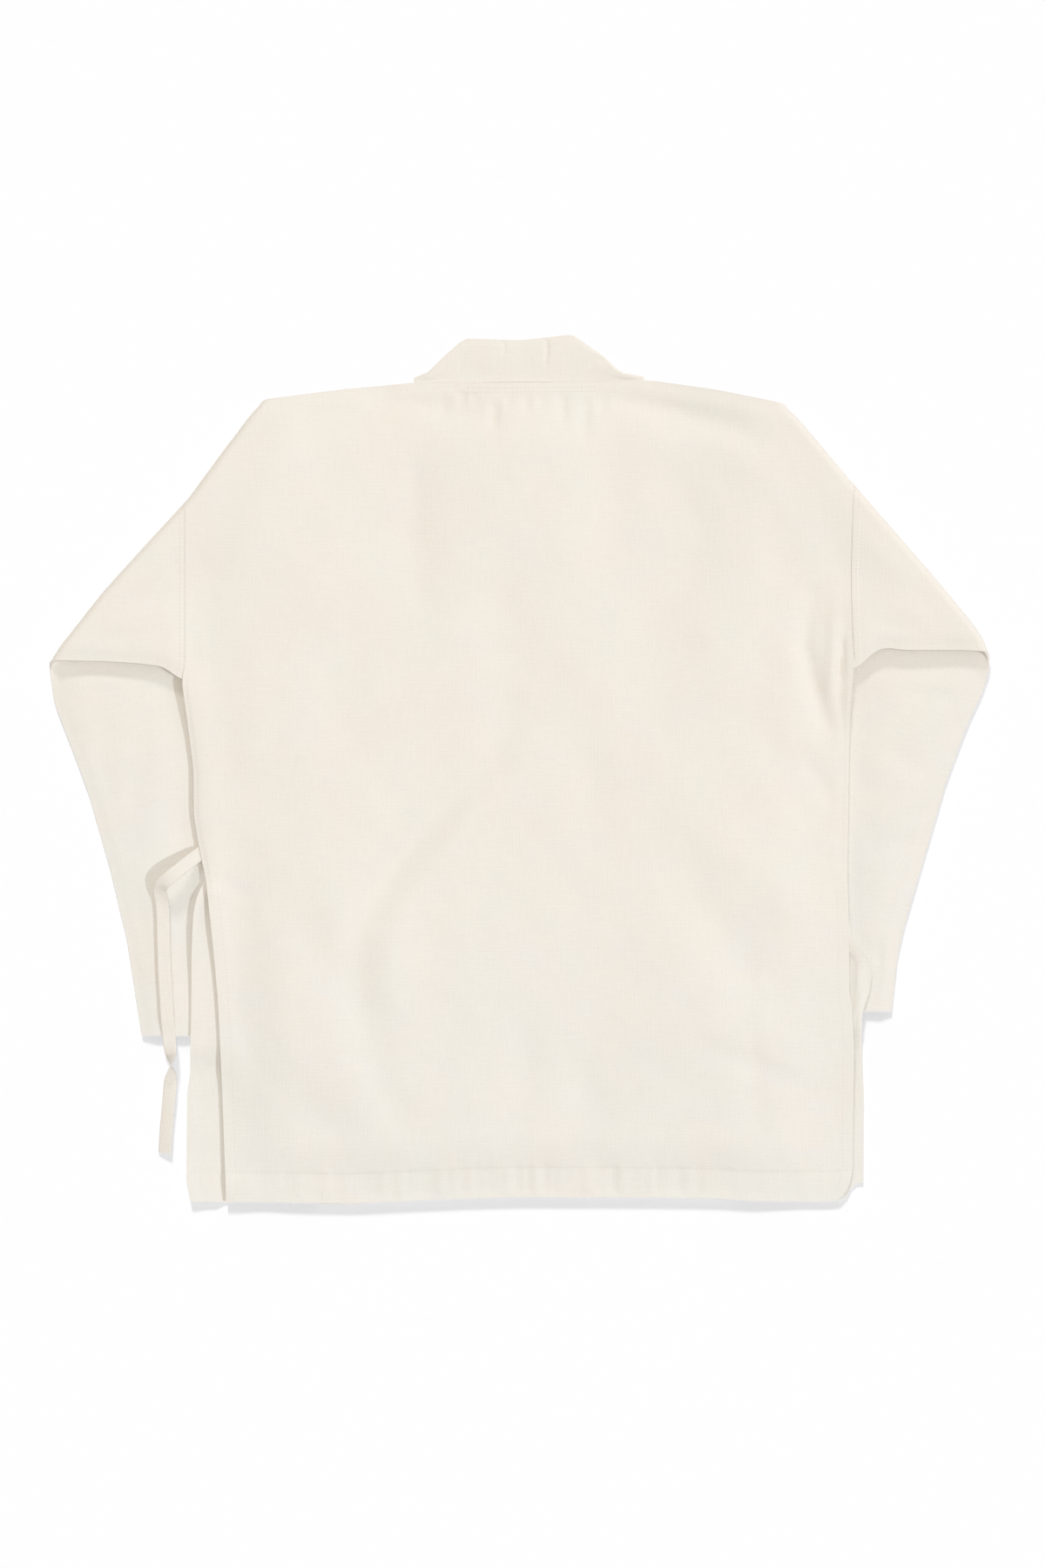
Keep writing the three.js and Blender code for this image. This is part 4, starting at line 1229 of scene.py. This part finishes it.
def floor_paint():
    """A matt, faintly uneven surface that glows a little and takes most light from one side."""
    material = bpy.data.materials.new("floor_paint")
    material.use_nodes = True
    tree = material.node_tree
    speckle = streaks(tree, add_node(tree, "NewGeometry")[0], (90, 90, 90))
    shade = calculate(tree, "ADD", calculate(tree, "MULTIPLY", speckle, 0.02), 0.99)
    facing = add_node(tree, "CombineXYZ", X=0.0, Y=math.sin(FLOOR_LEAN), Z=math.cos(FLOOR_LEAN))
    set_inputs(
        tree, tree.nodes["Principled BSDF"],
        Base_Color=scaled(tree, FLOOR_COLOUR, shade), Roughness=0.9, Specular_IOR_Level=0.0,
        Emission_Color=GLOW_COLOUR, Emission_Strength=FLOOR_GLOW, Normal=facing[0],
    )
    return material


FLOOR_HALF = 12.0
FLOOR_COLOUR = (0.985, 0.99, 1.0)
FLOOR_GLOW = 0.38
GLOW_COLOUR = (0.97, 0.99, 1.06, 1)
# The floor takes light as if it leaned, which deepens the shadows below hem and cuffs
FLOOR_LEAN = math.radians(60)
CLOTH_COLOUR = (0.80, 0.755, 0.686)
BAND_COLOUR = (0.80, 0.755, 0.684)
TIE_COLOUR = (0.78, 0.735, 0.665)
THREAD_COLOUR = (0.74, 0.685, 0.605)


def make_floor():
    mesh = bpy.data.meshes.new("floor")
    corners = [(x * FLOOR_HALF, y * FLOOR_HALF, 0) for x, y in ((-1, -1), (1, -1), (1, 1), (-1, 1))]
    mesh.from_pydata(corners, [], [(0, 1, 2, 3)])
    mesh.materials.append(floor_paint())
    floor = add_object("floor", mesh)


WORLD_LIGHT = 0.45
WORLD_COLOUR = (1.03, 0.99, 0.94, 1)
# Light from above, a strong one from the right for the jacket alone, and a low one from the collar's side:
# bearing and rise in degrees, light, width in radians, colour, and whether it lights the floor too
SUNS = [
    ("sun_above", 0, 89.5, 0.89, 0.05, (1.05, 1, 0.92), True),
    ("sun_right", -20, 43, 1.15, 0.05, (0.9, 0.985, 1.12), False),
    ("sun_top", 99, 26, 0.95, 0.14, (1, 1, 1), True),
]


def make_light():
    scene = bpy.context.scene
    scene.view_settings.view_transform = "Standard"
    world = bpy.data.worlds.new("studio")
    world.use_nodes = True
    tree = world.node_tree
    set_inputs(tree, tree.nodes["Background"], Color=WORLD_COLOUR, Strength=WORLD_LIGHT)
    scene.world = world
    for name, bearing, rise, light, wide, colour, whole in SUNS:
        sun = bpy.data.lights.new(name, "SUN")
        sun.energy = light
        sun.color = colour
        sun.angle = wide
        lamp = add_object(name, sun)
        turn = math.radians(bearing)
        up = math.radians(rise)
        level = math.cos(up)
        towards = Vector((level * math.cos(turn), level * math.sin(turn), math.sin(up)))
        lamp.location = towards * 3
        lamp.rotation_euler = towards.to_track_quat("Z", "Y").to_euler()
        if not whole:
            lamp.light_linking.receiver_collection = SIDE_LIT


# The photograph's frame: its middle in the jacket's drawing, and its length
VIEW_MIDDLE = (4.3, -12.9)
VIEW_LENGTH = 1476
CAMERA_HEIGHT = 4.0
SENSOR = 36


def make_camera():
    data = bpy.data.cameras.new("camera")
    data.sensor_width = SENSOR
    data.lens = SENSOR * CAMERA_HEIGHT / (VIEW_LENGTH * MM)
    camera = add_object("camera", data)
    camera.location = ((VIEW_MIDDLE[0] + SHIFT[0]) * MM, (VIEW_MIDDLE[1] + SHIFT[1]) * MM, CAMERA_HEIGHT)
    bpy.context.scene.camera = camera


# From the jacket's drawing to the frame: the neck band's lowest corner is known in both
NECK_BAND_CORNER = (-97, 364.8, BACK_OVER_FRONT)
SHIFT = np.array(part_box("collar_back")[0]) / MM - np.array(NECK_BAND_CORNER)

SIDE_LIT = bpy.data.collections.new("lit_from_the_side")

make_camera()
make_light()
make_floor()
cloth = cotton("jacket_cotton", CLOTH_COLOUR)
band = cotton("band_cotton", BAND_COLOUR, shift=(0.31, 0.17, 0))
tie = cotton("tie_cotton", TIE_COLOUR, slub=0.09, mottle=0.05)
thread = cotton("sewing_thread", THREAD_COLOUR, slub=0.03)
make_back(cloth)
make_front("left_front", -1, front_floor, cloth, "front_left")
make_front("right_front", 1, right_front_floor, cloth, "front_right")
make_lapel("left_lapel", -1, front_floor, band, "lapel_left")
make_lapel("right_lapel", 1, right_front_floor, band, "lapel_right")
make_collar(band)
make_sleeve("left_sleeve", SLEEVES[0], cloth, "sleeve_left")
make_sleeve("right_sleeve", SLEEVES[1], cloth, "sleeve_right")
make_side_tie(tie)
make_front_tie(tie)
make_stitching(thread)
